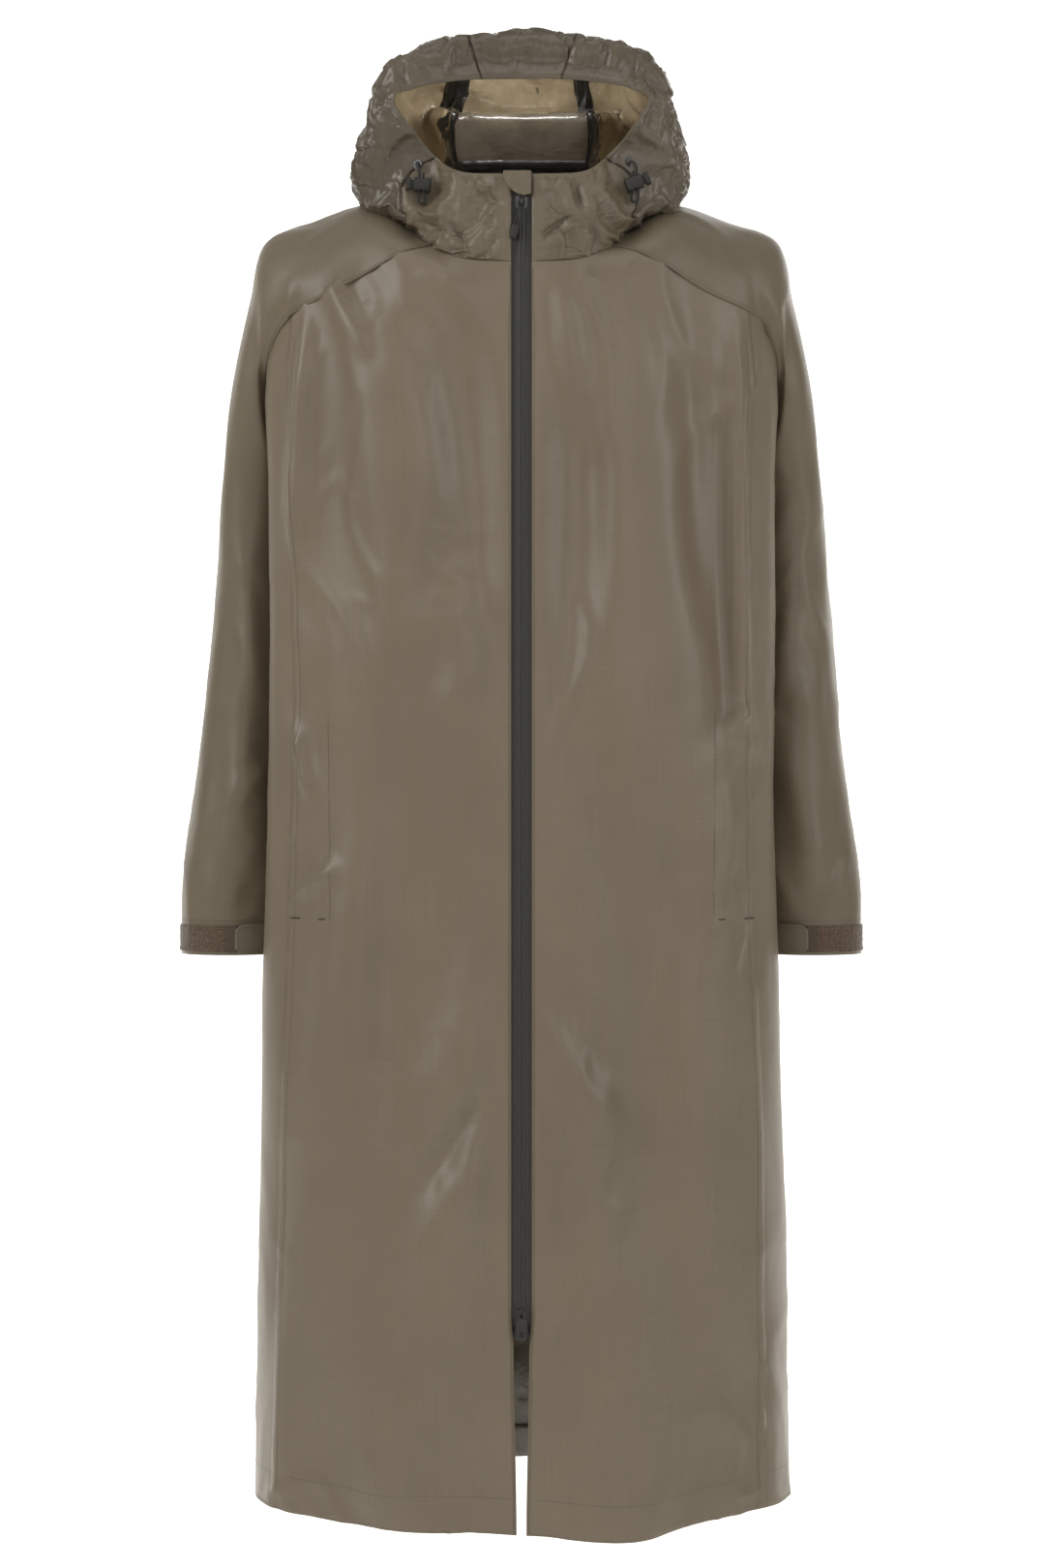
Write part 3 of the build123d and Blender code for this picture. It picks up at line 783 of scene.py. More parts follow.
HOOD_LONGITUDES = (
    ((9, -125, -4), (9, -126, -17), (9, -127, -30), (9, -127, -43), (9, -127, -56), (9, -126, -69),
     (9, -125, -81)),
    ((55, -113, 1), (60, -113, -10), (63, -113, -24), (63, -113, -38), (60, -114, -52), (57, -114, -64),
     (54, -114, -76)),
    ((78, -98, 20), (94, -90, 14), (106, -86, 2), (110, -84, -14), (106, -84, -32), (95, -88, -46),
     (79, -98, -64)),
    ((101, -103, 46), (124, -95, 46), (141, -78, 26), (147, -62, 6), (138, -55, -16), (115, -58, -28),
     (91, -62, -48)),
    ((112, -98, 70), (129, -86, 84), (139, -50, 66), (148, -12, 30), (148, 10, 6), (122, 0, -14),
     (90, -20, -30)),
    ((95, -96, 78), (111, -85, 104), (125, -40, 96), (138, 25, 62), (140, 45, 12), (112, 40, -8),
     (75, 5, -16)),
    ((60, -94, 85), (78, -82, 121), (88, -30, 123), (96, 45, 100), (108, 90, 40), (85, 82, -2), (45, 28, -8)),
    ((0, -93, 87), (0, -84, 130), (0, -25, 140), (0, 50, 120), (0, 108, 52), (0, 98, 4), (0, 36, -4)),
)  # fmt: skip


class Surfaces:
    """The coat's three main surfaces as dense grids, before they are cut into pieces."""

    def __init__(self, step: float = 4.5) -> None:
        """Shape the torso and the hood.

        Args:
            step: Spacing of the cloth's points in millimetres.
        """
        self.step = step
        self.torso = self.shape_torso()
        self.hood = self.shape_hood()

    def shape_torso(self) -> Grid:
        """Return the whole torso, hem to neck by left zip edge round to right zip edge."""
        top = np.array(TORSO_LONGITUDES, float).transpose(1, 0, 2)
        rings = []
        for z, half, middle, fore, aft in TORSO_RINGS:
            ring = []
            for k in range(9):
                turn = math.radians(22.5 * k)
                depth = fore if k < 4 else aft
                x = FRONT_EDGE_X if k == 0 else half * math.sin(turn)
                ring.append((x, middle - depth * math.cos(turn), z))
            rings.append(ring)
        half_net = np.concatenate([top, np.array(rings, float)], axis=0)
        whole = np.concatenate([mirrored(half_net)[:, :-1], half_net[:, ::-1]], axis=1)
        grid = dense(whole, self.step, self.step)
        grid = self.pull_front_edges(grid)
        return self.fold_torso(grid)

    def pull_front_edges(self, grid: Grid) -> Grid:
        """Draw the front edges together below the bottom slider and level the hem."""
        x, z = grid[..., 0], grid[..., 2]
        below = smoothstep(SLIDER_Z - 2, SLIDER_Z - 26, z) * 2.2 + smoothstep(SLIDER_Z - 20, HEM_Z, z) * 3.0
        near = np.exp(-((np.abs(x) / 30) ** 2)) * (grid[..., 1] < 0)
        grid[..., 0] = x - np.sign(x) * below * near
        return grid

    def fold_torso(self, grid: Grid) -> Grid:
        """Lay the soft drape and the sharp folds into the torso."""
        n = normals(grid)
        n *= np.sign(n[..., 1:2] * (grid[..., 1:2] + 40) + n[..., 0:1] * grid[..., 0:1] + 1e-9)
        x, y, z = grid[..., 0], grid[..., 1], grid[..., 2]
        front = y < -40
        lift = np.zeros_like(x)
        for fold in TORSO_FOLDS:
            lift += FRONT_FOLD_GAIN * fold.lift(x, z) * front
        for fold in BACK_FOLDS:
            lift += BACK_FOLD_GAIN * fold.lift(x, z) * (y > 20)
        free = 0.25 + 0.75 * smoothstep(-150, -420, z)
        drape = ripple(grid, 150, 11, (1, 1, 0.16)) * 5.5 + ripple(grid, 66, 12, (1, 1, 0.22)) * 2.4
        calm = smoothstep(8, 60, np.abs(x)) * front + ~front
        lift += drape * free * (0.25 + 0.75 * calm)
        hem = smoothstep(-900, HEM_Z, z)
        lift += ripple(grid, 80, 13, (1, 1, 0.3)) * 3.6 * hem * calm
        lift += crumple(grid, 120, 14, (1, 1, 0.22)) * 0.5 * (0.3 + 0.7 * calm)
        lift += crumple(grid, 46, 15, (1, 1, 0.5)) * 0.75 * self.wear(x, z) * (0.4 + 0.6 * calm)
        lift *= 1 - 0.72 * smoothstep(0.55, 0.92, np.abs(n[..., 0]))
        lift = FOLD_LIMIT * np.tanh(lift / FOLD_LIMIT)
        edge = smoothstep(9, 42, np.abs(x)) * front + ~front
        neck = smoothstep(0, 14, np.arange(grid.shape[0]))[:, None]
        moved = grid + n * (lift * edge * neck)[..., None]
        moved[..., 2] -= hem * (1 - smoothstep(90, 230, np.abs(x))) * 8.0 * front
        moved[..., 2] -= hem * np.exp(-(((x - 90) / 70) ** 2)) * 7.0 * front
        return moved

    def wear(self, x: np.ndarray, z: np.ndarray) -> np.ndarray:
        """Return how crumpled the torso is at each place, from 0 to about 1."""
        across = np.abs(x)
        hem = smoothstep(-960, HEM_Z, z) * 0.8
        side = smoothstep(165, 225, across) * 0.5
        pocket = np.exp(-(((across - 190) / 34) ** 2) - ((z + 650) / 60) ** 2)
        pocket += np.exp(-(((across - 196) / 30) ** 2) - ((z + 480) / 50) ** 2) * 0.7
        lower_zip = np.exp(-(((across - 62) / 46) ** 2) - ((z + 850) / 130) ** 2) * 0.8
        chest = np.exp(-(((x + 150) / 40) ** 2) - ((z + 130) / 60) ** 2) * 0.9
        return np.clip(0.12 + hem + side + pocket + lower_zip + chest, 0, 1.1)

    def shape_hood(self) -> Grid:
        """Return hood and collar, face edge to neck seam by left zip edge round to right."""
        half_net = np.array(HOOD_LONGITUDES, float).transpose(1, 0, 2)
        whole = np.concatenate([mirrored(half_net)[:, :-1], half_net[:, ::-1]], axis=1)
        grid = dense(whole, 3.2, 3.2)
        x, y, z = grid[..., 0], grid[..., 1], grid[..., 2]
        middle = 1 - smoothstep(62, 104, np.abs(x))
        slump = smoothstep(94, 84, z) * smoothstep(-12, 78, z) * smoothstep(0, 45, y)
        grid[..., 1] = y - INNER_FOLD_DEPTH * slump * middle
        n = normals(grid)
        n *= np.sign(np.sum(n * (grid - HOOD_HEART), axis=2, keepdims=True))
        lift = np.zeros_like(x)
        for fold in COLLAR_FOLDS:
            lift += fold.lift(x, z) * (y < -40)
        side = smoothstep(50, 100, np.abs(x))
        top = smoothstep(60, 115, z) * (1 - side)
        waves = ripple(grid, 64, 21, (1.0, 1.0, 0.5)) * 2.6
        lean = grid @ np.array([[1.0, 0, 0.25], [0, 1.0, 0], [-0.25, 0, 1.0]])
        sharp = crumple(lean, 46, 23, (1, 1, 0.34)) * 1.25 + crumple(lean, 22, 27, (1, 1, 0.4), 2) * 1.2
        collar = (y < -60) * (z < 30)
        lift += waves * (0.2 + 0.8 * side)
        lift += sharp * np.where(collar, 0.35, 0.12 + 0.88 * side)
        lift += crumple(grid, 40, 29) * 1.0 * collar
        rim = np.exp(-np.arange(grid.shape[0]) / 6.0)[:, None] * smoothstep(58, 84, np.abs(x))
        lift += crumple(grid, 17, 33, (1, 1, 1), 2) * 1.6 * rim
        lift += ripple(grid, 60, 25) * 1.6 * top - 3.0 * top
        calm = smoothstep(0, 12, np.arange(grid.shape[0]))[:, None]
        seam = smoothstep(0, 10, np.arange(grid.shape[0])[::-1])[:, None]
        zip_edge = smoothstep(9, 26, np.abs(x)) * (y < -100) + (y >= -100)
        for (ex, ez), (lx, lz) in HOOD_HARDWARE:
            for cx, cz, face in ((ex, ez, -85.5), (lx, lz, -88.0)):
                near = 1 - smoothstep(9, 30, np.hypot(x - cx, z - cz))
                near *= y < -50
                grid[..., 1] = grid[..., 1] + near * (np.maximum(grid[..., 1], face) - grid[..., 1])
                lift *= 1 - 0.9 * near
        grid = grid + n * (lift * (0.25 + 0.75 * calm) * seam * (0.1 + 0.9 * zip_edge))[..., None]
        fixed = 0.5 * smoothstep(0.45, 0.85, np.abs(n[..., 0])) * (y > -80)
        fixed += 0.35 * smoothstep(100, 118, z)
        for cx, cz in (place for pair in HOOD_HARDWARE for place in pair):
            fixed += (1 - smoothstep(12, 26, np.hypot(x - cx, z - cz))) * (y < -50)
        fixed = np.clip(fixed, 0, 1)
        fixed[:2] = fixed[-3:] = 1
        fixed[:, :4] = fixed[:, -4:] = 1
        grid = Drape(swell=0.12, frames=16, hold=0.07, bending=0.005, cap=8, gravity=0.1).run(grid, fixed)
        groove = np.exp(-((np.arange(grid.shape[0]) - 3.5) ** 2))[:, None] * (z > 40)
        return grid - n * (1.1 * groove)[..., None]

    def shape_sleeve(self, sign: float) -> Grid:
        """Return one raglan sleeve, neck to cuff, lapped onto the torso at its seams.

        Args:
            sign: -1 for the left sleeve and 1 for the right.
        """
        rows = [np.array(row, float) for row in SLEEVE_ROWS]
        for z, cx, cy, rx, ry in SLEEVE_RINGS:
            turns = np.radians(180 + 45 * np.arange(9))
            ring = [cx + rx * np.cos(turns), cy + ry * np.sin(turns), np.full(9, float(z))]
            rows.append(np.stack(ring, axis=1))
        grid = dense(np.array(rows), self.step, self.step)
        x, z = grid[..., 0], grid[..., 2]
        n = normals(grid)
        depths = [30, 260, 700]
        across, behind = np.interp(-z, depths, [150, 245, 270]), np.interp(-z, depths, [-10, 30, 30])
        middle = np.stack([across, behind, z - 40 * (z > -260)], axis=2)
        n *= np.sign(np.sum(n * (grid - middle), axis=2, keepdims=True))
        seed = 31 if sign < 0 else 41
        tube = smoothstep(-170, -330, z)
        cuff = smoothstep(-697, -640, z)
        lift = ripple(grid, 90, seed, (1, 1, 0.3)) * 2.0 * tube * cuff
        lift += ripple(grid, 44, seed + 1, (1, 1, 0.45)) * 0.8 * tube * cuff
        inner = smoothstep(268, 225, x)
        lift += crumple(grid, 84, seed + 2, (1, 1, 0.4)) * 0.5 * tube * cuff
        lift += crumple(grid, 36, seed + 5, (1, 1, 0.8)) * (0.12 + 0.6 * inner) * tube * cuff
        lift += crumple(grid, 90, seed + 8, (1, 1, 0.6)) * 0.2 * smoothstep(60, 110, x) * (1 - tube)
        lift *= 1 - 0.6 * smoothstep(0.6, 0.95, np.abs(n[..., 0]))
        for fold in SLEEVE_FOLDS[sign]:
            lift += fold.lift(x, z) * (n[..., 1] < 0.2)
        grid = grid + n * lift[..., None]
        return self.lap(grid if sign > 0 else mirrored(grid), sign)

    def lap(self, grid: Grid, sign: float) -> Grid:
        """Bring the sleeve's raglan edges onto the torso, a little proud of it."""
        middle = self.torso.shape[1] // 2
        torso = self.torso[:, middle - 4 :] if sign > 0 else self.torso[:, : middle + 4]
        out = normals(torso)
        out *= np.sign(out[..., 1:2] * (torso[..., 1:2] + 40) + out[..., 0:1] * torso[..., 0:1] + 1e-9)
        points, out = torso.reshape(-1, 3), out.reshape(-1, 3)
        down = smoothstep(-310, -250, grid[:, 0, 2])
        for side in (0, -1):
            edge = grid[:, side]
            near = np.array([np.argmin(np.sum((points - p) ** 2, axis=1)) for p in edge])
            shift = points[near] + out[near] * 1.1 - edge
            even = np.hanning(13) / np.hanning(13).sum()
            padded = np.pad(shift, ((6, 6), (0, 0)), mode="edge")
            shift = np.stack([np.convolve(padded[:, k], even, "valid") for k in range(3)], axis=1)
            cols = grid if side == 0 else grid[:, ::-1]
            run = np.cumsum(np.linalg.norm(np.diff(cols, axis=1, prepend=cols[:, :1]), axis=2), axis=1)
            fade = (1 - smoothstep(0, 45, run)) * down[:, None]
            moved = cols + shift[:, None, :] * fade[..., None]
            grid = moved if side == 0 else moved[:, ::-1]
        return grid


TORSO_FOLDS = (
    Fold((-178, -72), (-132, -165), 9, 7.0, 1.3),
    Fold((-166, -80), (-116, -190), 12, -4.0),
    Fold((-150, -105), (-60, -330), 26, 4.5),
    Fold((-190, -118), (-205, -330), 8, 4.0, 1.2),
    Fold((-120, -120), (-95, -520), 34, 6.0),
    Fold((-60, -130), (-20, -420), 26, -4.0),
    Fold((-78, -200), (-112, -820), 38, -6.0),
    Fold((30, -95), (66, -250), 16, 5.0),
    Fold((92, -100), (118, -560), 36, 7.0),
    Fold((60, -150), (40, -420), 26, -4.5),
    Fold((150, -130), (168, -420), 18, -4.5),
    Fold((192, -140), (196, -470), 6, 4.5, 1.3),
    Fold((178, -160), (184, -520), 9, -4.0),
    Fold((120, -520), (96, -1100), 44, -5.0),
    Fold((-52, -720), (-84, -1160), 34, 5.5),
    Fold((-26, -860), (-96, -980), 14, 5.0, 1.2),
    Fold((-30, -800), (-90, -905), 12, -4.0),
    Fold((12, -740), (84, -850), 13, 4.5, 1.2),
    Fold((14, -800), (70, -1010), 16, -4.0),
    Fold((30, -760), (92, -1120), 30, 5.0),
    Fold((-150, -560), (-170, -1150), 30, 5.0),
    Fold((168, -560), (160, -1150), 30, 4.5),
    Fold((-210, -480), (-190, -560), 7, 4.0, 1.3),
    Fold((-205, -640), (-160, -610), 6, 3.0, 1.3),
    Fold((205, -470), (176, -500), 6, 3.0, 1.3),
    Fold((-100, -1060), (-128, -1185), 18, 6.0),
    Fold((66, -1020), (118, -1185), 22, 6.0),
)
BACK_FOLDS = (
    Fold((-90, -120), (-60, -700), 34, 6.0),
    Fold((100, -130), (70, -760), 36, 6.0),
    Fold((0, -200), (-10, -900), 40, -5.0),
    Fold((-150, -400), (-140, -1150), 36, 7.0),
    Fold((150, -420), (160, -1150), 36, 7.0),
    Fold((30, -600), (50, -1180), 34, 7.0),
)
COLLAR_FOLDS = (
    Fold((-44, -14), (-18, -31), 3.0, -4.5, 1.5),
    Fold((-38, -47), (-19, -31), 3.2, 4.5, 1.5),
    Fold((-146, -14), (-92, -30), 5.0, 7.0, 1.4),
    Fold((-98, -29), (-36, -47), 4.4, 8.0, 1.5),
    Fold((-92, -39), (-44, -58), 4.0, -5.0, 1.4),
    Fold((-70, -34), (-54, -64), 3.0, 4.5, 1.5),
    Fold((-61, -38), (-46, -70), 2.6, -4.0, 1.5),
    Fold((-82, -44), (-64, -66), 3.4, 3.5, 1.4),
    Fold((-26, -28), (-15, -70), 2.8, 3.6, 1.4),
    Fold((-17, -34), (-11, -72), 2.4, -2.6, 1.4),
    Fold((-74, 4), (-50, -12), 3.2, 3.4, 1.4),
    Fold((-112, 2), (-96, -26), 4.0, 4.0, 1.4),
    Fold((45, 0), (52, -34), 2.8, -6.0, 1.6),
    Fold((37, -2), (46, -36), 5.0, 3.6, 1.3),
    Fold((86, -12), (52, -37), 3.4, 6.0, 1.5),
    Fold((45, -35), (13, -64), 2.8, -5.0, 1.5),
    Fold((50, -40), (18, -70), 3.4, 3.4, 1.4),
    Fold((58, -38), (69, -60), 2.8, -5.0, 1.5),
    Fold((66, -34), (120, -41), 4.0, 6.0, 1.4),
    Fold((72, -42), (112, -54), 3.6, -5.0, 1.4),
    Fold((62, -50), (88, -68), 4.0, 4.5, 1.4),
    Fold((104, -12), (140, -22), 4.4, 4.5, 1.4),
    Fold((118, 6), (112, -24), 4.0, -4.0, 1.4),
    Fold((45, 134), (38, 98), 2.8, -7.0, 1.6),
    Fold((55, 132), (47, 100), 4.0, 5.0, 1.4),
    Fold((71, 128), (62, 102), 3.6, 6.5, 1.5),
    Fold((78, 121), (70, 92), 3.0, -6.0, 1.5),
    Fold((88, 116), (94, 84), 3.6, 5.5, 1.5),
    Fold((97, 110), (104, 76), 3.0, -5.0, 1.5),
    Fold((106, 96), (114, 66), 3.4, 4.5, 1.4),
    Fold((-96, 112), (-76, 86), 3.6, 6.5, 1.5),
    Fold((-103, 104), (-102, 72), 5.0, -5.5, 1.4),
    Fold((-72, 126), (-75, 92), 3.0, -5.5, 1.5),
    Fold((-64, 124), (-66, 96), 4.0, 3.6, 1.4),
    Fold((-112, 80), (-106, 50), 3.4, 4.5, 1.4),
)
SLEEVE_FOLDS = {
    -1.0: (
        Fold((200, -80), (224, -170), 8, 4.0, 1.3),
        Fold((262, -300), (240, -480), 9, 4.0, 1.2),
        Fold((250, -470), (278, -640), 12, 4.0, 1.1),
        Fold((232, -520), (262, -560), 7, 4.0, 1.3),
    ),
    1.0: (
        Fold((206, -80), (222, -160), 8, -4.0, 1.3),
        Fold((246, -360), (226, -540), 9, 4.0, 1.2),
        Fold((240, -480), (272, -640), 12, 4.0, 1.1),
        Fold((226, -600), (250, -660), 7, 3.5, 1.3),
    ),
}


def points_out(grid: Grid, centre: np.ndarray) -> bool:
    """Say whether a grid's normals point away from a middle point or line."""
    return bool(np.sum(normals(grid) * (grid - centre)) > 0)


def line_on(
    grid: Grid, outline: Iterable[tuple[float, float]], step: float = 3.0
) -> tuple[np.ndarray, np.ndarray]:
    """Lay a line seen from the front onto a surface.

    Args:
        grid: The surface.
        outline: Across and up, point by point.
        step: Spacing of the laid points.

    Returns:
        Points on the surface and their outward normals.
    """
    outline = np.array(list(outline), float)
    runs = np.concatenate([[0], np.cumsum(np.linalg.norm(np.diff(outline, axis=0), axis=1))])
    at = np.linspace(0, runs[-1], max(2, int(runs[-1] / step)))
    wanted = np.stack([np.interp(at, runs, outline[:, 0]), np.interp(at, runs, outline[:, 1])], axis=1)
    n = normals(grid)
    n *= np.where(n[..., 1:2] > 0, -1, 1)
    points, out = grid.reshape(-1, 3), n.reshape(-1, 3)
    facing = out[:, 1] < -0.15
    points, out = points[facing], out[facing]
    laid, ups = [], []
    for x, z in wanted:
        away = (points[:, 0] - x) ** 2 + (points[:, 2] - z) ** 2 + 0.02 * (points[:, 1] + 125) ** 2
        pick = np.argsort(away)[:6]
        weight = 1 / (away[pick] + 0.5)
        weight /= weight.sum()
        spot = (points[pick] * weight[:, None]).sum(axis=0)
        laid.append((x, spot[1], z))
        ups.append((out[pick] * weight[:, None]).sum(axis=0))
    return np.array(laid), np.array(ups)


@dataclass
class Panels:
    """The coat's body: two front panels, a back panel and their turned hem."""

    shapes: Surfaces
    finish: Finishes
    seam_x: float = 205.0
    hem_turn: float = HEM_TURN
    proud: float = 0.7

    def build(self) -> None:
        """Cut the torso into panels and finish their edges."""
        torso = self.shapes.torso
        row = int(np.argmin(np.abs(torso[:, 0, 2] + 700)))
        across = torso[row, :, 0]
        front = torso[row, :, 1] < -30
        first = int(np.argmax((across < -self.seam_x) & front))
        last = len(across) - 1 - int(np.argmax((across[::-1] > self.seam_x) & front[::-1]))
        self.front("left", torso[:, : first + 2], -1.0)
        self.front("right", torso[:, last - 1 :][:, ::-1], 1.0)
        self.back(torso[:, first - 1 : last + 2])
        self.hems(torso, first, last)

    def front(self, side: str, grid: Grid, sign: float) -> None:
        """Make one front panel with its turned zip edge and topstitching.

        Args:
            side: Name of the side.
            grid: Columns from the zip edge out to the side seam.
            sign: -1 for left and 1 for right.
        """
        lifted = grid.copy()
        rise = np.linspace(0, 1, 6)[None, :, None] * self.proud
        lifted[:, -6:, 1:2] -= rise
        edge = lifted[:, :1]
        turned = np.concatenate([edge + (sign * 6, 3.0, 0), edge + (sign * 0.5, 1.6, 0), lifted], axis=1)
        count = grid.shape[0]
        centre = np.stack([np.zeros(count), np.full(count, -40.0), grid[:, 0, 2]], axis=1)[:, None]
        # The inner face takes the darker lining: painted shade for the coat's inside.
        panel = cloth_mesh(
            f"front_panel_cloth_{side}",
            turned,
            self.finish.shell,
            self.finish.painted_shade_lining,
            flip=points_out(grid, centre),
            keep=outside_armhole,
        )
        ride(panel, "coat", "shell_fabric", f"front_panel_{side}", f"pocket_welt_{side}")
        n = normals(grid)
        n *= np.where(n[..., 1:2] > 0, -1, 1)
        rows = slice(3, None)
        line = grid[rows, 1] * 0.4 + grid[rows, 0] * 0.6
        topstitch = stitch_row(f"zip_topstitch_{side}", line, n[rows, 1], self.finish.thread)
        ride(topstitch, "coat", "shell_fabric")
        seam = lifted[:, -3]
        low = seam[:, 2] < -140
        side_seam = stitch_row(f"side_seam_stitch_{side}", seam[low], n[low, -3], self.finish.thread)
        ride(side_seam, "coat", "shell_fabric")

    def back(self, grid: Grid) -> None:
        """Make the back panel."""
        centre = np.array([0.0, -40.0, 0.0]) * np.ones(3) + np.array([0, 0, 1.0]) * grid[:, :1, 2:3]
        # The inner face takes the darker lining: painted shade for the coat's inside.
        panel = cloth_mesh(
            "back_panel_cloth",
            grid,
            self.finish.shell,
            self.finish.painted_shade_lining,
            flip=points_out(grid, centre),
            keep=outside_armhole,
        )
        ride(panel, "coat", "shell_fabric", "back_panel")

    def hems(self, torso: Grid, first: int, last: int) -> None:
        """Turn the hem up inside and stitch it."""
        middle = np.array([0.0, -35.0, 0.0])
        low = torso[:, 0, 2] < HEM_Z + self.hem_turn + 3
        band = torso[low]
        inward = middle - band
        inward[..., 2] = 0
        inward /= np.linalg.norm(inward, axis=2, keepdims=True)
        inner = band + inward * 1.4
        flat = middle + np.array([0, 0, 1.0]) * inner[:, :1, 2:3]
        faces_out = points_out(inner, flat)
        # The turned hem is cut in the darker lining: painted shade for the hem inside the coat.
        turn = cloth_mesh("hem_turn_cloth", inner[:, 2:-2], self.finish.painted_shade_lining, flip=faces_out)
        ride(turn, "coat", "inner_coating", "hem_facing")
        at = int(np.argmin(np.abs(torso[:, 0, 2] - HEM_Z - self.hem_turn)))
        ride(
            stitch_row("hem_stitch", torso[at, 1:-1], -inward[0, 1:-1], self.finish.thread),
            "coat",
            "shell_fabric",
        )

    def pocket(self, side: str, sign: float) -> None:
        """Hang one pocket's bag inside and stitch its outline and bar tacks.

        Args:
            side: Name of the side.
            sign: -1 for left and 1 for right.
        """
        lo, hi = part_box(f"pocket_bag_{side}")
        top, foot = hi.z / MM, lo.z / MM
        torso = self.shapes.torso
        rows = (torso[:, 0, 2] < top + 12) & (torso[:, 0, 2] > foot - 25)
        column = np.abs(torso[int(np.argmax(rows)), :, 0] - sign * 150) < 48
        column &= torso[int(np.argmax(rows)), :, 1] < -50
        bag = torso[rows][:, column]
        bag = bag + np.array([0.0, 4.0, 0.0])
        # The bag is cut in the darker lining: painted shade inside the coat.
        cloth = cloth_mesh(f"pocket_bag_cloth_{side}", bag, self.finish.painted_shade_lining, thick=0.9)
        ride(cloth, "coat", "inner_coating", f"pocket_bag_{side}")
        lo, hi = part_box(f"pocket_welt_{side}")
        top, foot = hi.z / MM, lo.z / MM
        inner = sign * 172
        path, out = line_on(self.shapes.torso, [(inner, top), (inner - sign * 2, foot)])
        ride(stitch_row(f"pocket_stitch_{side}", path, out, self.finish.thread), "coat", "shell_fabric")
        for n, (a, b) in enumerate(((198, 208), (174, 181))):
            path, out = line_on(self.shapes.torso, [(sign * a, foot + 1), (sign * b, foot + 1)], 1.5)
            tack = stitch_row(f"pocket_bar_tack_{side}_{n + 1}", path, out, self.finish.thread, 0.9, 1.4)
            ride(tack, "coat", "shell_fabric")


def outside_armhole(centres: np.ndarray) -> np.ndarray:
    """Say which places of the torso lie below the raglan seams."""
    x, y, z = np.abs(centres[:, 0]), centres[:, 1], centres[:, 2]
    allowance = 8
    front_seam = np.interp(x, [70, 120, 172, 218, 240], [-58, -76, -106, -128, -150]) + allowance
    fore = (x > 84) & (y < -5) & (z > front_seam)
    aft = (x > 60) & (y >= -5) & (z > np.interp(x, [52, 116, 166, 200], [-8, -48, -80, -118]) + allowance)
    seam_fore = np.interp(z, [-278, -225, -170, -128], [35, -20, -40, -70]) + allowance
    seam_aft = np.interp(z, [-278, -225, -170, -118], [35, 80, 84, 82]) - allowance
    side = (x > 150) & (z > -272) & (y > seam_fore) & (y < seam_aft)
    return ~(fore | aft | side)


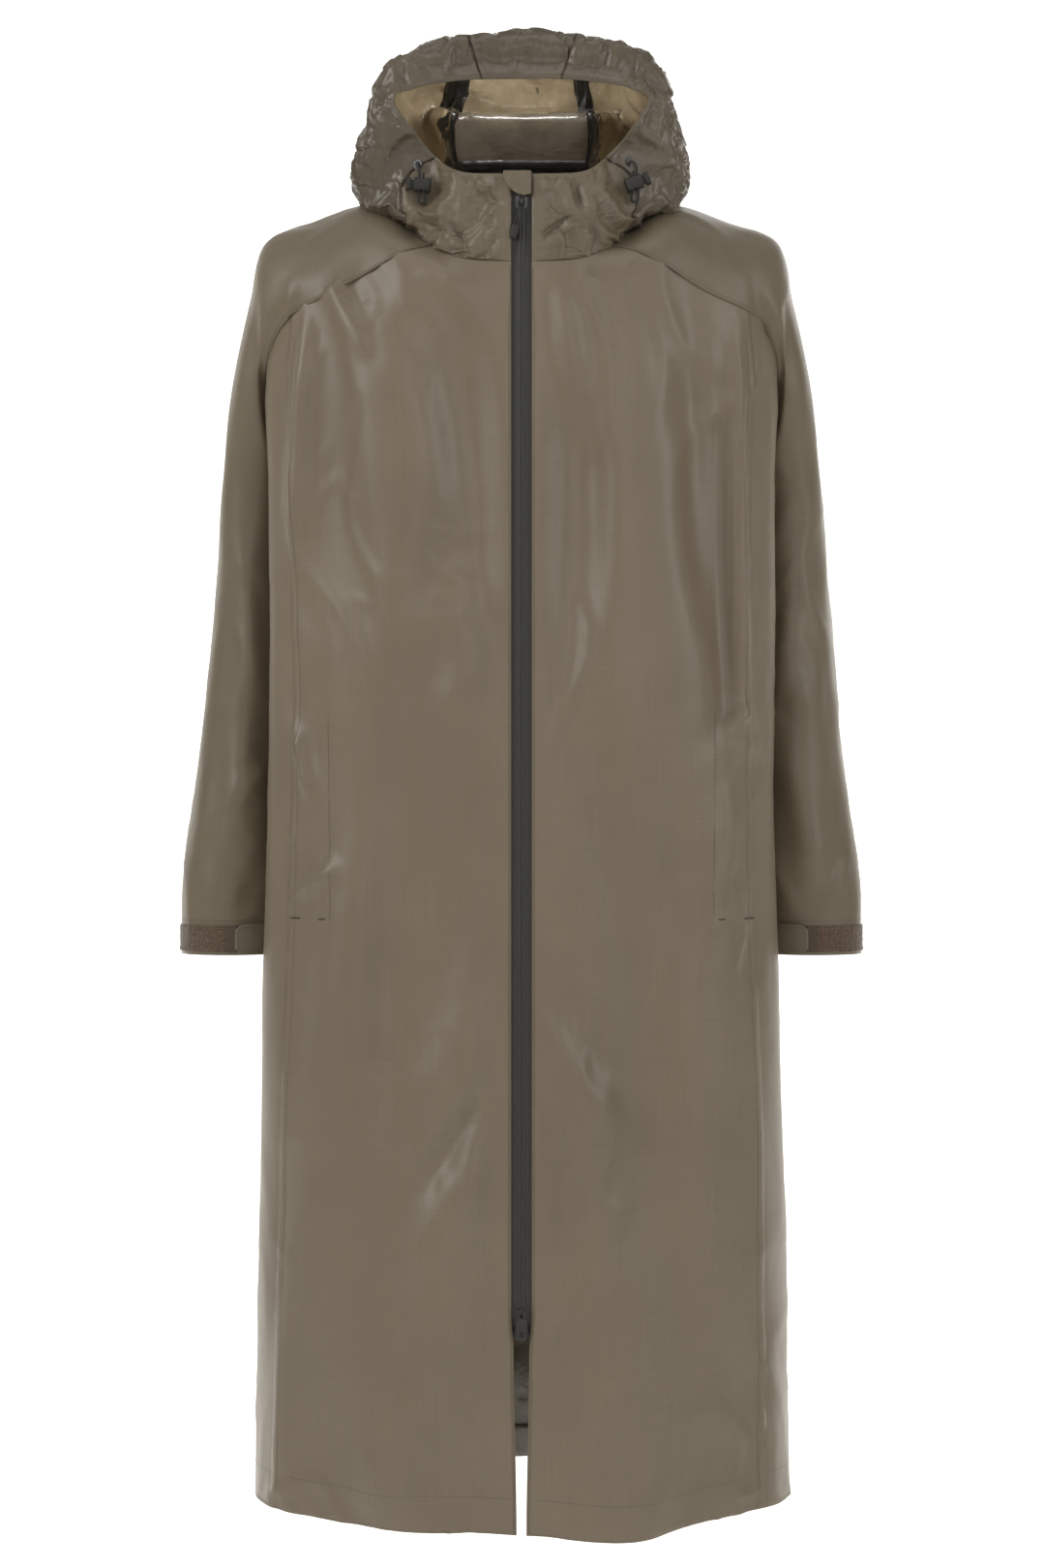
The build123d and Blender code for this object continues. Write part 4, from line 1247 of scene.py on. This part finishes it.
@dataclass
class Sleeve:
    """One raglan sleeve with its cuff, loop patch and tab."""

    shapes: Surfaces
    finish: Finishes
    side: str
    sign: float
    patch_from: float = 258.0
    patch_to: float = 368.0
    tab_from: float = 216.0
    tab_to: float = 262.0

    def build(self) -> None:
        """Make the sleeve's cloth, seams and cuff."""
        self.grid = self.shapes.shape_sleeve(self.sign)
        self.centre = np.stack(
            [
                self.sign * np.interp(-self.grid[..., 2], [30, 260, 700], [150, 245, 270]),
                np.interp(-self.grid[..., 2], [30, 260, 700], [-10, 30, 30]),
                self.grid[..., 2] - 40 * (self.grid[..., 2] > -260),
            ],
            axis=2,
        )
        self.out = normals(self.grid)
        self.out *= np.sign(np.sum(self.out * (self.grid - self.centre), axis=2, keepdims=True))
        # The inner face takes the darker lining: painted shade for the sleeve's inside.
        cloth = cloth_mesh(
            f"raglan_sleeve_cloth_{self.side}",
            self.grid,
            self.finish.yoke,
            self.finish.painted_shade_lining,
            flip=points_out(self.grid, self.centre),
        )
        self.hang(cloth, "shell_fabric", f"raglan_shoulder_{self.side}", f"sleeve_{self.side}")
        self.seams()
        self.cuff()

    def hang(self, obj, slot: str, *nodes: str) -> None:
        """Bake a piece's placement into its mesh and hide the CAD parts it stands for."""
        if nodes:
            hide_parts(*nodes)
        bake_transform(obj)
        log.info("%s bends from the coat to sleeve_%s", obj.name, self.side)

    def seams(self) -> None:
        """Stitch the raglan seams and close the underarm."""
        down = self.grid[:, 0, 2] > -282
        for name, col in (("front", 1), ("back", -2)):
            line, up = self.grid[down, col], self.out[down, col]
            row = stitch_row(f"raglan_stitch_{name}_{self.side}", line, up, self.finish.thread)
            self.hang(row, "shell_fabric")
        rows = (self.grid[:, 0, 2] < -122) & (self.grid[:, 0, 2] > -300)
        fore, aft = self.grid[rows, 0], self.grid[rows, -1]
        shares = np.linspace(0, 1, 16)[None, :, None]
        web = fore[:, None] * (1 - shares) + aft[:, None] * shares
        web[..., 0] -= self.sign * 10 * np.sin(math.pi * shares[..., 0])
        gusset = cloth_mesh(f"underarm_gusset_{self.side}", web, self.finish.yoke, flip=self.sign > 0)
        self.hang(gusset, "shell_fabric")

    def angles(self) -> np.ndarray:
        """Return the turn about the cuff of each column, in degrees."""
        cuff = self.grid[-1]
        cx, cy = self.sign * 270, 30
        turn = np.degrees(np.arctan2(cuff[:, 1] - cy, (cuff[:, 0] - cx) * self.sign))
        return np.where(turn < 170, turn + 360, turn)

    def wrap(self, first: float, last: float, low: float, high: float, off: float, step: float = 1.6) -> Grid:
        """Return a grid wrapped round the cuff.

        Args:
            first: Turn where it starts.
            last: Turn where it ends.
            low: Height of its lower edge.
            high: Height of its upper edge.
            off: Distance out from the sleeve.
            step: Spacing of its points.

        Returns:
            Rows from top to bottom, columns from first to last.
        """
        turns = self.angles()
        order = np.argsort(turns)
        heights = np.arange(high, low - 0.01, -step)
        spread = np.arange(first, last, math.degrees(step / 44))
        wrapped = np.where(spread > turns.max(), spread - 360, spread)
        ring = []
        for z in heights:
            rows = self.grid[:, :, 2].mean(axis=1)
            i = int(np.clip(np.searchsorted(-rows, -z), 1, len(rows) - 1))
            t = np.clip((rows[i - 1] - z) / (rows[i - 1] - rows[i]), 0, 1)
            line = self.grid[i - 1] * (1 - t) + self.grid[i] * t
            out = self.out[i - 1] * (1 - t) + self.out[i] * t
            line = line + out * off
            ring.append([[np.interp(a, turns[order], line[order, c]) for c in range(3)] for a in wrapped])
            for point in ring[-1]:
                point[2] = z
        return np.array(ring)

    def cuff(self) -> None:
        """Make the cuff's loop patch, its stitched border and the blank tab."""
        lo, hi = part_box(f"loop_patch_{self.side}")
        low, high = lo.z / MM, hi.z / MM
        pile = self.wrap(self.patch_from, self.patch_to, low, high, 1.5, 1.2)
        fuzz = ripple(pile, 4.2, 61)[..., None] * 0.28 + ripple(pile, 2.6, 62)[..., None] * 0.22
        centre = np.array([self.sign * 270, 30.0, 0.0]) + np.array([0, 0, 1.0]) * pile[..., 2:3]
        away = pile - centre
        away /= np.linalg.norm(away, axis=2, keepdims=True)
        patch = cloth_mesh(
            f"loop_patch_pile_{self.side}",
            pile + away * fuzz,
            self.finish.loop_pile,
            thick=1.3,
            flip=points_out(pile, centre),
        )
        ride(patch, f"sleeve_{self.side}", "loop_tape", f"loop_patch_{self.side}")
        for name, row in (("top", 2), ("bottom", -3)):
            border = stitch_row(
                f"loop_patch_stitch_{name}_{self.side}", pile[row], away[row], self.finish.patch_thread, 2.6, 0.6
            )
            ride(border, f"sleeve_{self.side}", "loop_tape")
        self.tab(low, high)
        rows = self.wrap(185, 535, high + 3, high + 4.8, 0.1)
        seam = stitch_row(f"cuff_hem_stitch_{self.side}", rows[0], self.level(rows[0]), self.finish.thread)
        ride(seam, f"sleeve_{self.side}", "shell_fabric")

    def level(self, line: np.ndarray) -> np.ndarray:
        """Return level outward directions along a line round the cuff."""
        away = line - np.array([self.sign * 270, 30.0, 0.0])
        away[:, 2] = 0
        return away / np.linalg.norm(away, axis=1, keepdims=True)

    def tab(self, low: float, high: float) -> None:
        """Make the tab that closes the cuff, with a rounded end and a stitched border."""
        grid = self.wrap(self.tab_from, self.tab_to, low - 1.5, high + 1.5, 3.6, 1.5)
        run = np.linspace(0, 1, grid.shape[1])
        mid = (low + high) / 2
        end = smoothstep(0.72, 1.0, run)
        squeeze = np.sqrt(np.clip(1 - end**2 * 0.55, 0, 1))
        grid[..., 2] = mid + (grid[..., 2] - mid) * squeeze
        centre = np.array([self.sign * 270, 30.0, 0.0]) + np.array([0, 0, 1.0]) * grid[..., 2:3]
        strap = cloth_mesh(
            f"cuff_tab_cloth_{self.side}", grid, self.finish.tab, thick=1.4, flip=points_out(grid, centre)
        )
        ride(strap, f"cuff_tab_{self.side}", "shell_fabric", f"cuff_tab_{self.side}")
        out = self.level(grid.reshape(-1, 3)).reshape(grid.shape)
        edge = 2
        loop, ups = (
            np.concatenate([side[edge, :-edge], side[edge:-edge, -edge - 1], side[-edge - 1, :-edge][::-1]])
            for side in (grid, out)
        )
        border = stitch_row(f"cuff_tab_stitch_{self.side}", loop, ups, self.finish.thread, 2.8)
        ride(border, f"cuff_tab_{self.side}", "shell_fabric")


@dataclass
class Hood:
    """Hood and collar in one crumpled surface, cut at its seams, with sealed seams inside."""

    shapes: Surfaces
    finish: Finishes
    seam_x: float = 55.0
    tape_half: float = 9.0
    hem_rows: int = 3
    fold_top: float = 89.0
    fold_half: float = 72.0

    def build(self) -> None:
        """Cut the hood into panels, then stitch and seal its seams."""
        grid = self.shapes.hood
        top = grid[grid.shape[0] // 3]
        seam_left = int(np.argmin(np.abs(top[:, 0] + self.seam_x) + (top[:, 2] < 60) * 500))
        seam_right = int(np.argmin(np.abs(top[:, 0] - self.seam_x) + (top[:, 2] < 60) * 500))
        rim = grid[0]
        corner_left = int(np.argmin(np.linalg.norm(rim - (-78, -98, 20), axis=1)))
        corner_right = int(np.argmin(np.linalg.norm(rim - (78, -98, 20), axis=1)))
        cuts = {
            "collar_cloth_left": (0, corner_left),
            "hood_side_cloth_left": (corner_left, seam_left),
            "hood_centre_cloth": (seam_left, seam_right),
            "hood_side_cloth_right": (seam_right, corner_right),
            "collar_cloth_right": (corner_right, grid.shape[1] - 1),
        }
        nodes = {
            "collar_cloth_left": ("collar",),
            "hood_side_cloth_left": ("hood_side_left",),
            "hood_centre_cloth": ("hood_centre_panel", "hood_brim"),
            "hood_side_cloth_right": ("hood_side_right",),
            "collar_cloth_right": ("collar",),
        }
        out = normals(grid)
        out *= np.sign(np.sum(out * (grid - HOOD_HEART), axis=2, keepdims=True))
        for name, (a, b) in cuts.items():
            part = grid[:, a : b + 2]
            if a == 0:
                first = part[:, :1]
                part = np.concatenate([first + (-6, 3.0, 0), first + (-0.5, 1.6, 0), part], axis=1)
            if b == grid.shape[1] - 1:
                final = part[:, -1:]
                part = np.concatenate([part, final + (0.5, 1.6, 0), final + (6, 3.0, 0)], axis=1)
            shell = self.finish.yoke if name.startswith("collar") else self.finish.hood
            cloth = cloth_mesh(name, part, shell, self.finish.lining, flip=points_out(part, HOOD_HEART))
            self.paint_fold_shade(cloth)
            ride(cloth, "coat", "shell_fabric", *nodes[name])
        self.stitch(grid, out, seam_left, seam_right)
        self.seal(grid, out, seam_left, seam_right)

    def paint_fold_shade(self, cloth) -> None:
        """Paint shade on the fold that lies forward inside: its lining faces take the darker copy of the
        coating.

        Args:
            cloth: One panel of the hood.
        """
        cloth.data.materials.append(self.finish.painted_shade_lining)
        # Lining faces low in the hood's back, where the fold lies in shade, take the painted shade lining.
        for face in cloth.data.polygons:
            low = face.center.z < self.fold_top * MM and face.center.y > -0.03
            low = low and abs(face.center.x) < self.fold_half * MM
            if face.material_index == 1 and low:
                face.material_index = 2

    def stitch(self, grid: Grid, out: Grid, seam_left: int, seam_right: int) -> None:
        """Stitch the face hem and the seams."""
        rows = {
            "face_hem_stitch": (grid[self.hem_rows, 2:-2], out[self.hem_rows, 2:-2]),
            "hood_seam_stitch_left": (grid[14:-2, seam_left], out[14:-2, seam_left]),
            "hood_seam_stitch_right": (grid[14:-2, seam_right], out[14:-2, seam_right]),
            "neck_seam_stitch": (grid[-2, 2:-2], out[-2, 2:-2]),
        }
        for name, (line, up) in rows.items():
            ride(stitch_row(name, line, up, self.finish.thread), "coat", "shell_fabric")

    def seal(self, grid: Grid, out: Grid, seam_left: int, seam_right: int) -> None:
        """Lay glossy tape over the seams inside."""
        inner = grid - out * 1.3
        half = int(self.tape_half / 3.2)
        for side, seam in (("left", seam_left), ("right", seam_right)):
            width = half + 1 if side == "left" else half
            strip = inner[2:-2, seam - width : seam + width + 1]
            facing = points_out(strip, HOOD_HEART)
            tape = cloth_mesh(f"hood_seal_tape_{side}", strip, self.finish.seal_tape, thick=0.3, flip=facing)
            ride(tape, "coat", "seam_tape", f"hood_seam_tape_{side}")
        middle = grid.shape[1] // 2
        wall = (grid[:, middle, 1] > 30) & (grid[:, middle, 2] > 30) & (grid[:, middle, 2] < 46)
        across = np.abs(grid[int(np.argmax(wall)), :, 0]) < 78
        across &= grid[int(np.argmax(wall)), :, 1] > 0
        strip = inner[wall][:, across]
        facing = points_out(strip, HOOD_HEART)
        tape = cloth_mesh("neck_seal_tape", strip, self.finish.seal_tape, thick=0.3, flip=facing)
        ride(tape, "coat", "seam_tape", "neck_seam_tape")


@dataclass
class Zip:
    """The two-way front zip: ribbed coated tapes, a garage flap and CAD sliders."""

    finish: Finishes
    top: float = -9.0
    rib_pitch: float = 1.3
    profile: tuple[tuple[float, float], ...] = (
        (0.3, 0.4),
        (0.3, -1.3),
        (0.9, -1.8),
        (1.8, -1.75),
        (2.6, -1.2),
        (3.2, -0.35),
        (5.5, -0.2),
        (9.0, 0.0),
        (15.0, 0.4),
    )

    def build(self) -> None:
        """Make both tapes and the garage."""
        lo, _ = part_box("zip_tape_left")
        face = lo.y / MM
        for side, sign in SIDES:
            self.tape(side, sign, face)
        self.garage()

    def tape(self, side: str, sign: float, face: float) -> None:
        """Make one tape with its ribbed edge, drawn apart and back below the bottom slider.

        Args:
            side: Name of the side.
            sign: -1 for left and 1 for right.
            face: Front of the tape.
        """
        heights = np.arange(self.top, HEM_Z + 2, -self.rib_pitch / 2)
        shape = np.array(self.profile)
        rib = np.where(np.arange(len(heights)) % 2 == 0, 0.0, 0.16)
        rows = []
        for z, sunk in zip(heights, rib):
            part = float(smoothstep(SLIDER_Z - 4, SLIDER_Z - 30, np.array(z)))
            ridge = np.where(shape[:, 1] < -1, sunk, 0)
            x = shape[:, 0] + part * 7.0
            y = face + shape[:, 1] + ridge + part * 2.2
            rows.append(np.stack([sign * x, y, np.full(len(shape), z)], axis=1))
        grid = np.array(rows)
        tape = cloth_mesh(f"zip_tape_cloth_{side}", grid, self.finish.zip_tape, thick=0.45, flip=sign < 0)
        ends = ("zip_end_pins",) if sign < 0 else ()
        ride(tape, "coat", "zip_tape", f"zip_tape_{side}", *ends)
        back = np.array([(0.4, 0.9), (0.4, 2.3), (1.6, 2.7), (2.9, 2.3), (2.9, 0.9)])
        offset = np.stack([sign * (back[:, 0] - 0.3), back[:, 1] + 1.3, np.zeros(5)], axis=1)
        turns = grid[:, 1:2] + offset[None]
        turns[..., 1] -= np.where(np.arange(len(heights)) % 2 == 0, 0.0, 0.45)[:, None]
        coil = cloth_mesh(f"zip_coil_turns_{side}", turns, self.finish.zip_coil, thick=0.4, flip=sign > 0)
        ride(coil, "coat", "zip_coil", f"zip_coil_{side}")

    def garage(self) -> None:
        """Make the small flap that covers the top of the zip."""
        across = np.linspace(-16, 8.6, 22)
        rows = []
        for t in np.linspace(0, 1, 20):
            bottom = np.interp(across, [-16, -12, -6, 2, 8.6], [-8, -15, -21, -23.5, -22])
            top = np.full_like(across, -2.0)
            z = top * (1 - t) + bottom * t
            y = -128.2 - 1.6 * math.sin(math.pi * min(1.0, t * 1.1)) - 0.8 * np.cos(across / 8)
            rows.append(np.stack([across, y, z], axis=1))
        grid = np.array(rows)
        grid[..., 1] += ripple(grid, 11, 71) * 0.5
        flap = cloth_mesh("zip_garage_flap", grid, self.finish.yoke, thick=0.8)
        ride(flap, "coat", "shell_fabric", "zip_garage")


@dataclass
class Trim:
    """Drawcords and the finish of every CAD piece that shows as it is."""

    finish: Finishes
    cord_diameter: float = 0.0024
    cord_length: float = 0.0755

    def build(self) -> None:
        """Finish the hard trim and draw the cords."""
        slots = {
            self.finish.zip_metal: ("top_slider", "bottom_slider", "bottom_pull_tab"),
            self.finish.cord: ("top_pull_cord",),
            self.finish.moulded: (
                "top_pull_end",
                "cordlock_body_left",
                "cordlock_body_right",
                "cordlock_button_left",
                "cordlock_button_right",
            ),
            self.finish.steel: ("cordlock_spring_left", "cordlock_spring_right"),
            self.finish.eyelet: ("eyelet_left", "eyelet_right"),
            self.finish.zip_coil: ("zip_end_pins", "zip_top_stops"),
            self.finish.seal_tape: ("hanger_loop",),
            self.finish.satin: ("care_label",),
            self.finish.hooks: ("hook_patch_left", "hook_patch_right"),
        }
        for material, names in slots.items():
            for name in names:
                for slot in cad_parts[name].material_slots:
                    slot.material = material
                log.info("%s keeps its CAD shape in %s", name, material.name)
        for side, sign in SIDES:
            self.drawcord(side, sign)

    def drawcord(self, side: str, sign: float) -> None:
        """Draw one loop of cord from its eyelet through its lock and back."""
        ex, ey, ez = {"left": (-92, -86.5, 12), "right": (97, -84.5, 15)}[side]
        lx, ly, lz = {"left": (-88, -96, -8), "right": (100, -93, -6)}[side]
        route = [
            (ex, ey, ez),
            (ex + sign * 0.48 * 6, ey - 0.87 * 6, ez - 0.5),
            (lx + sign * 2.4, ly - 0.4, lz + 14),
            (lx + sign * 2.4, ly, lz),
            (lx + sign * 3.0, ly - 0.4, lz - 9),
            (lx + sign * 4.0, ly - 0.8, lz - 13.5),
            (lx + sign * 2.6, ly - 1.2, lz - 16.6),
            (lx - sign * 1.2, ly - 1.2, lz - 16.8),
            (lx - sign * 2.6, ly - 0.8, lz - 13.5),
            (lx - sign * 1.4, ly - 0.4, lz - 9),
            (lx - sign * 0.4, ly, lz),
            (lx - sign * 0.9, ly - 0.2, lz + 11),
        ]
        curve = bpy.data.curves.new(f"drawcord_braid_{side}", "CURVE")
        curve.dimensions = "3D"
        spline = curve.splines.new("NURBS")
        spline.points.add(len(route) - 1)
        for point, place in zip(spline.points, route):
            point.co = (place[0] * MM, place[1] * MM, place[2] * MM, 1)
        spline.order_u = 3
        spline.use_endpoint_u = True
        curve.bevel_depth = self.cord_diameter / 2
        curve.bevel_resolution = 4
        curve.resolution_u = 10
        curve.use_fill_caps = True
        curve.materials.append(self.finish.cord)
        obj = bpy.data.objects.new(f"drawcord_braid_{side}", curve)
        bpy.context.collection.objects.link(obj)
        ride(obj, "coat", "pull_cord", f"drawcord_{side}")


@dataclass(frozen=True)
class Studio:
    """A pale sweep, soft lights and a level camera at the coat's middle height."""

    floor_z: float = -1.62
    wall_y: float = 4.6
    reach: float = 9.0
    distance: float = 2.765
    height: float = -0.540
    lens: float = 69.0

    def build(self) -> None:
        """Set up backdrop, lights, world and camera."""
        self.sweep()
        self.lights()
        self.camera()

    def sweep(self) -> None:
        """Make the floor and wall in one curved sheet."""
        paper = bpy.data.materials.new("studio_paper")
        paper.use_nodes = True
        shader = paper.node_tree.nodes["Principled BSDF"]
        shader.inputs["Base Color"].default_value = linear("fbfaf6")
        shader.inputs["Roughness"].default_value = 0.9
        shader.inputs["Emission Color"].default_value = linear("fdfcf8")
        shader.inputs["Emission Strength"].default_value = 0.10
        bend = 1.4
        line = [(-self.reach, self.floor_z), (self.wall_y - bend, self.floor_z)]
        for n in range(1, 13):
            turn = math.pi / 2 * n / 12
            out, up = bend * math.sin(turn), bend * (1 - math.cos(turn))
            line.append((self.wall_y - bend + out, self.floor_z + up))
        line.append((self.wall_y, self.floor_z + self.reach))
        verts = [(sign * self.reach, y, z) for y, z in line for sign in (-1, 1)]
        faces = [(2 * i, 2 * i + 1, 2 * i + 3, 2 * i + 2) for i in range(len(line) - 1)]
        mesh = bpy.data.meshes.new("studio_sweep")
        mesh.from_pydata(verts, [], faces)
        mesh.materials.append(paper)
        mesh.polygons.foreach_set("use_smooth", [True] * len(mesh.polygons))
        obj = bpy.data.objects.new("studio_sweep", mesh)
        bpy.context.collection.objects.link(obj)

    def lights(self) -> None:
        """Hang the softboxes and light the world."""
        boxes = (
            ("key_softbox", (-2.2, -1.5, 1.0), (0.9, 1.8), 30),
            ("fill_softbox", (2.3, -1.7, 0.5), (0.8, 2.2), 17),
            ("front_softbox", (0.5, -3.8, 0.6), (1.6, 1.6), 12),
            ("top_softbox", (0.0, -0.5, 1.6), (1.4, 0.8), 4),
            ("back_softbox", (0.6, 2.4, 0.6), (2.2, 2.0), 22),
        )
        lamp = bpy.data.lights.new("hood_lamp", "AREA")
        lamp.shape = "RECTANGLE"
        lamp.size, lamp.size_y = 0.10, 0.02
        lamp.energy = 0.19
        glow = bpy.data.objects.new("hood_lamp", lamp)
        glow.location = (-0.01, -0.072, 0.104)
        glow.rotation_euler = Vector((0.1, 1.0, -0.35)).to_track_quat("-Z", "Y").to_euler()
        glow.visible_camera = False
        bpy.context.collection.objects.link(glow)
        for sign in (-1, 1):
            light = bpy.data.lights.new(f"backdrop_light_{sign}", "AREA")
            light.size = 2.4
            light.energy = 118
            obj = bpy.data.objects.new(f"backdrop_light_{sign}", light)
            obj.location = (sign * 2.6, 1.5, -0.2)
            obj.rotation_euler = (Vector((sign * -0.25, 1.0, -0.15))).to_track_quat("-Z", "Y").to_euler()
            bpy.context.collection.objects.link(obj)
        aim = Vector((0, 0, -0.5))
        for name, place, size, power in boxes:
            light = bpy.data.lights.new(name, "AREA")
            light.shape = "RECTANGLE"
            light.size, light.size_y = size
            light.energy = power
            obj = bpy.data.objects.new(name, light)
            obj.location = place
            obj.rotation_euler = (aim - Vector(place)).to_track_quat("-Z", "Y").to_euler()
            bpy.context.collection.objects.link(obj)
        world = bpy.data.worlds.new("studio_world")
        world.use_nodes = True
        background = world.node_tree.nodes["Background"]
        background.inputs["Color"].default_value = linear("fbfaf7")
        background.inputs["Strength"].default_value = 0.34
        bpy.context.scene.world = world
        bpy.context.scene.view_settings.view_transform = "Standard"

    def camera(self) -> None:
        """Place the camera level in front of the coat."""
        data = bpy.data.cameras.new("camera")
        data.sensor_width = 36
        data.lens = self.lens
        obj = bpy.data.objects.new("camera", data)
        obj.location = (0.0009, -self.distance, self.height)
        obj.rotation_euler = (math.radians(90), 0, 0)
        bpy.context.collection.objects.link(obj)
        bpy.context.scene.camera = obj


def main() -> None:
    """Build the studio and every part of the coat."""
    logging.basicConfig(level=logging.INFO, format="%(message)s")
    deselect()
    Studio().build()
    finish = Finishes()
    Trim(finish).build()
    shapes = Surfaces()
    panels = Panels(shapes, finish)
    panels.build()
    for side, sign in SIDES:
        panels.pocket(side, sign)
        Sleeve(shapes, finish, side, sign).build()
    Hood(shapes, finish).build()
    Zip(finish).build()


if __name__ == "__main__":
    main()
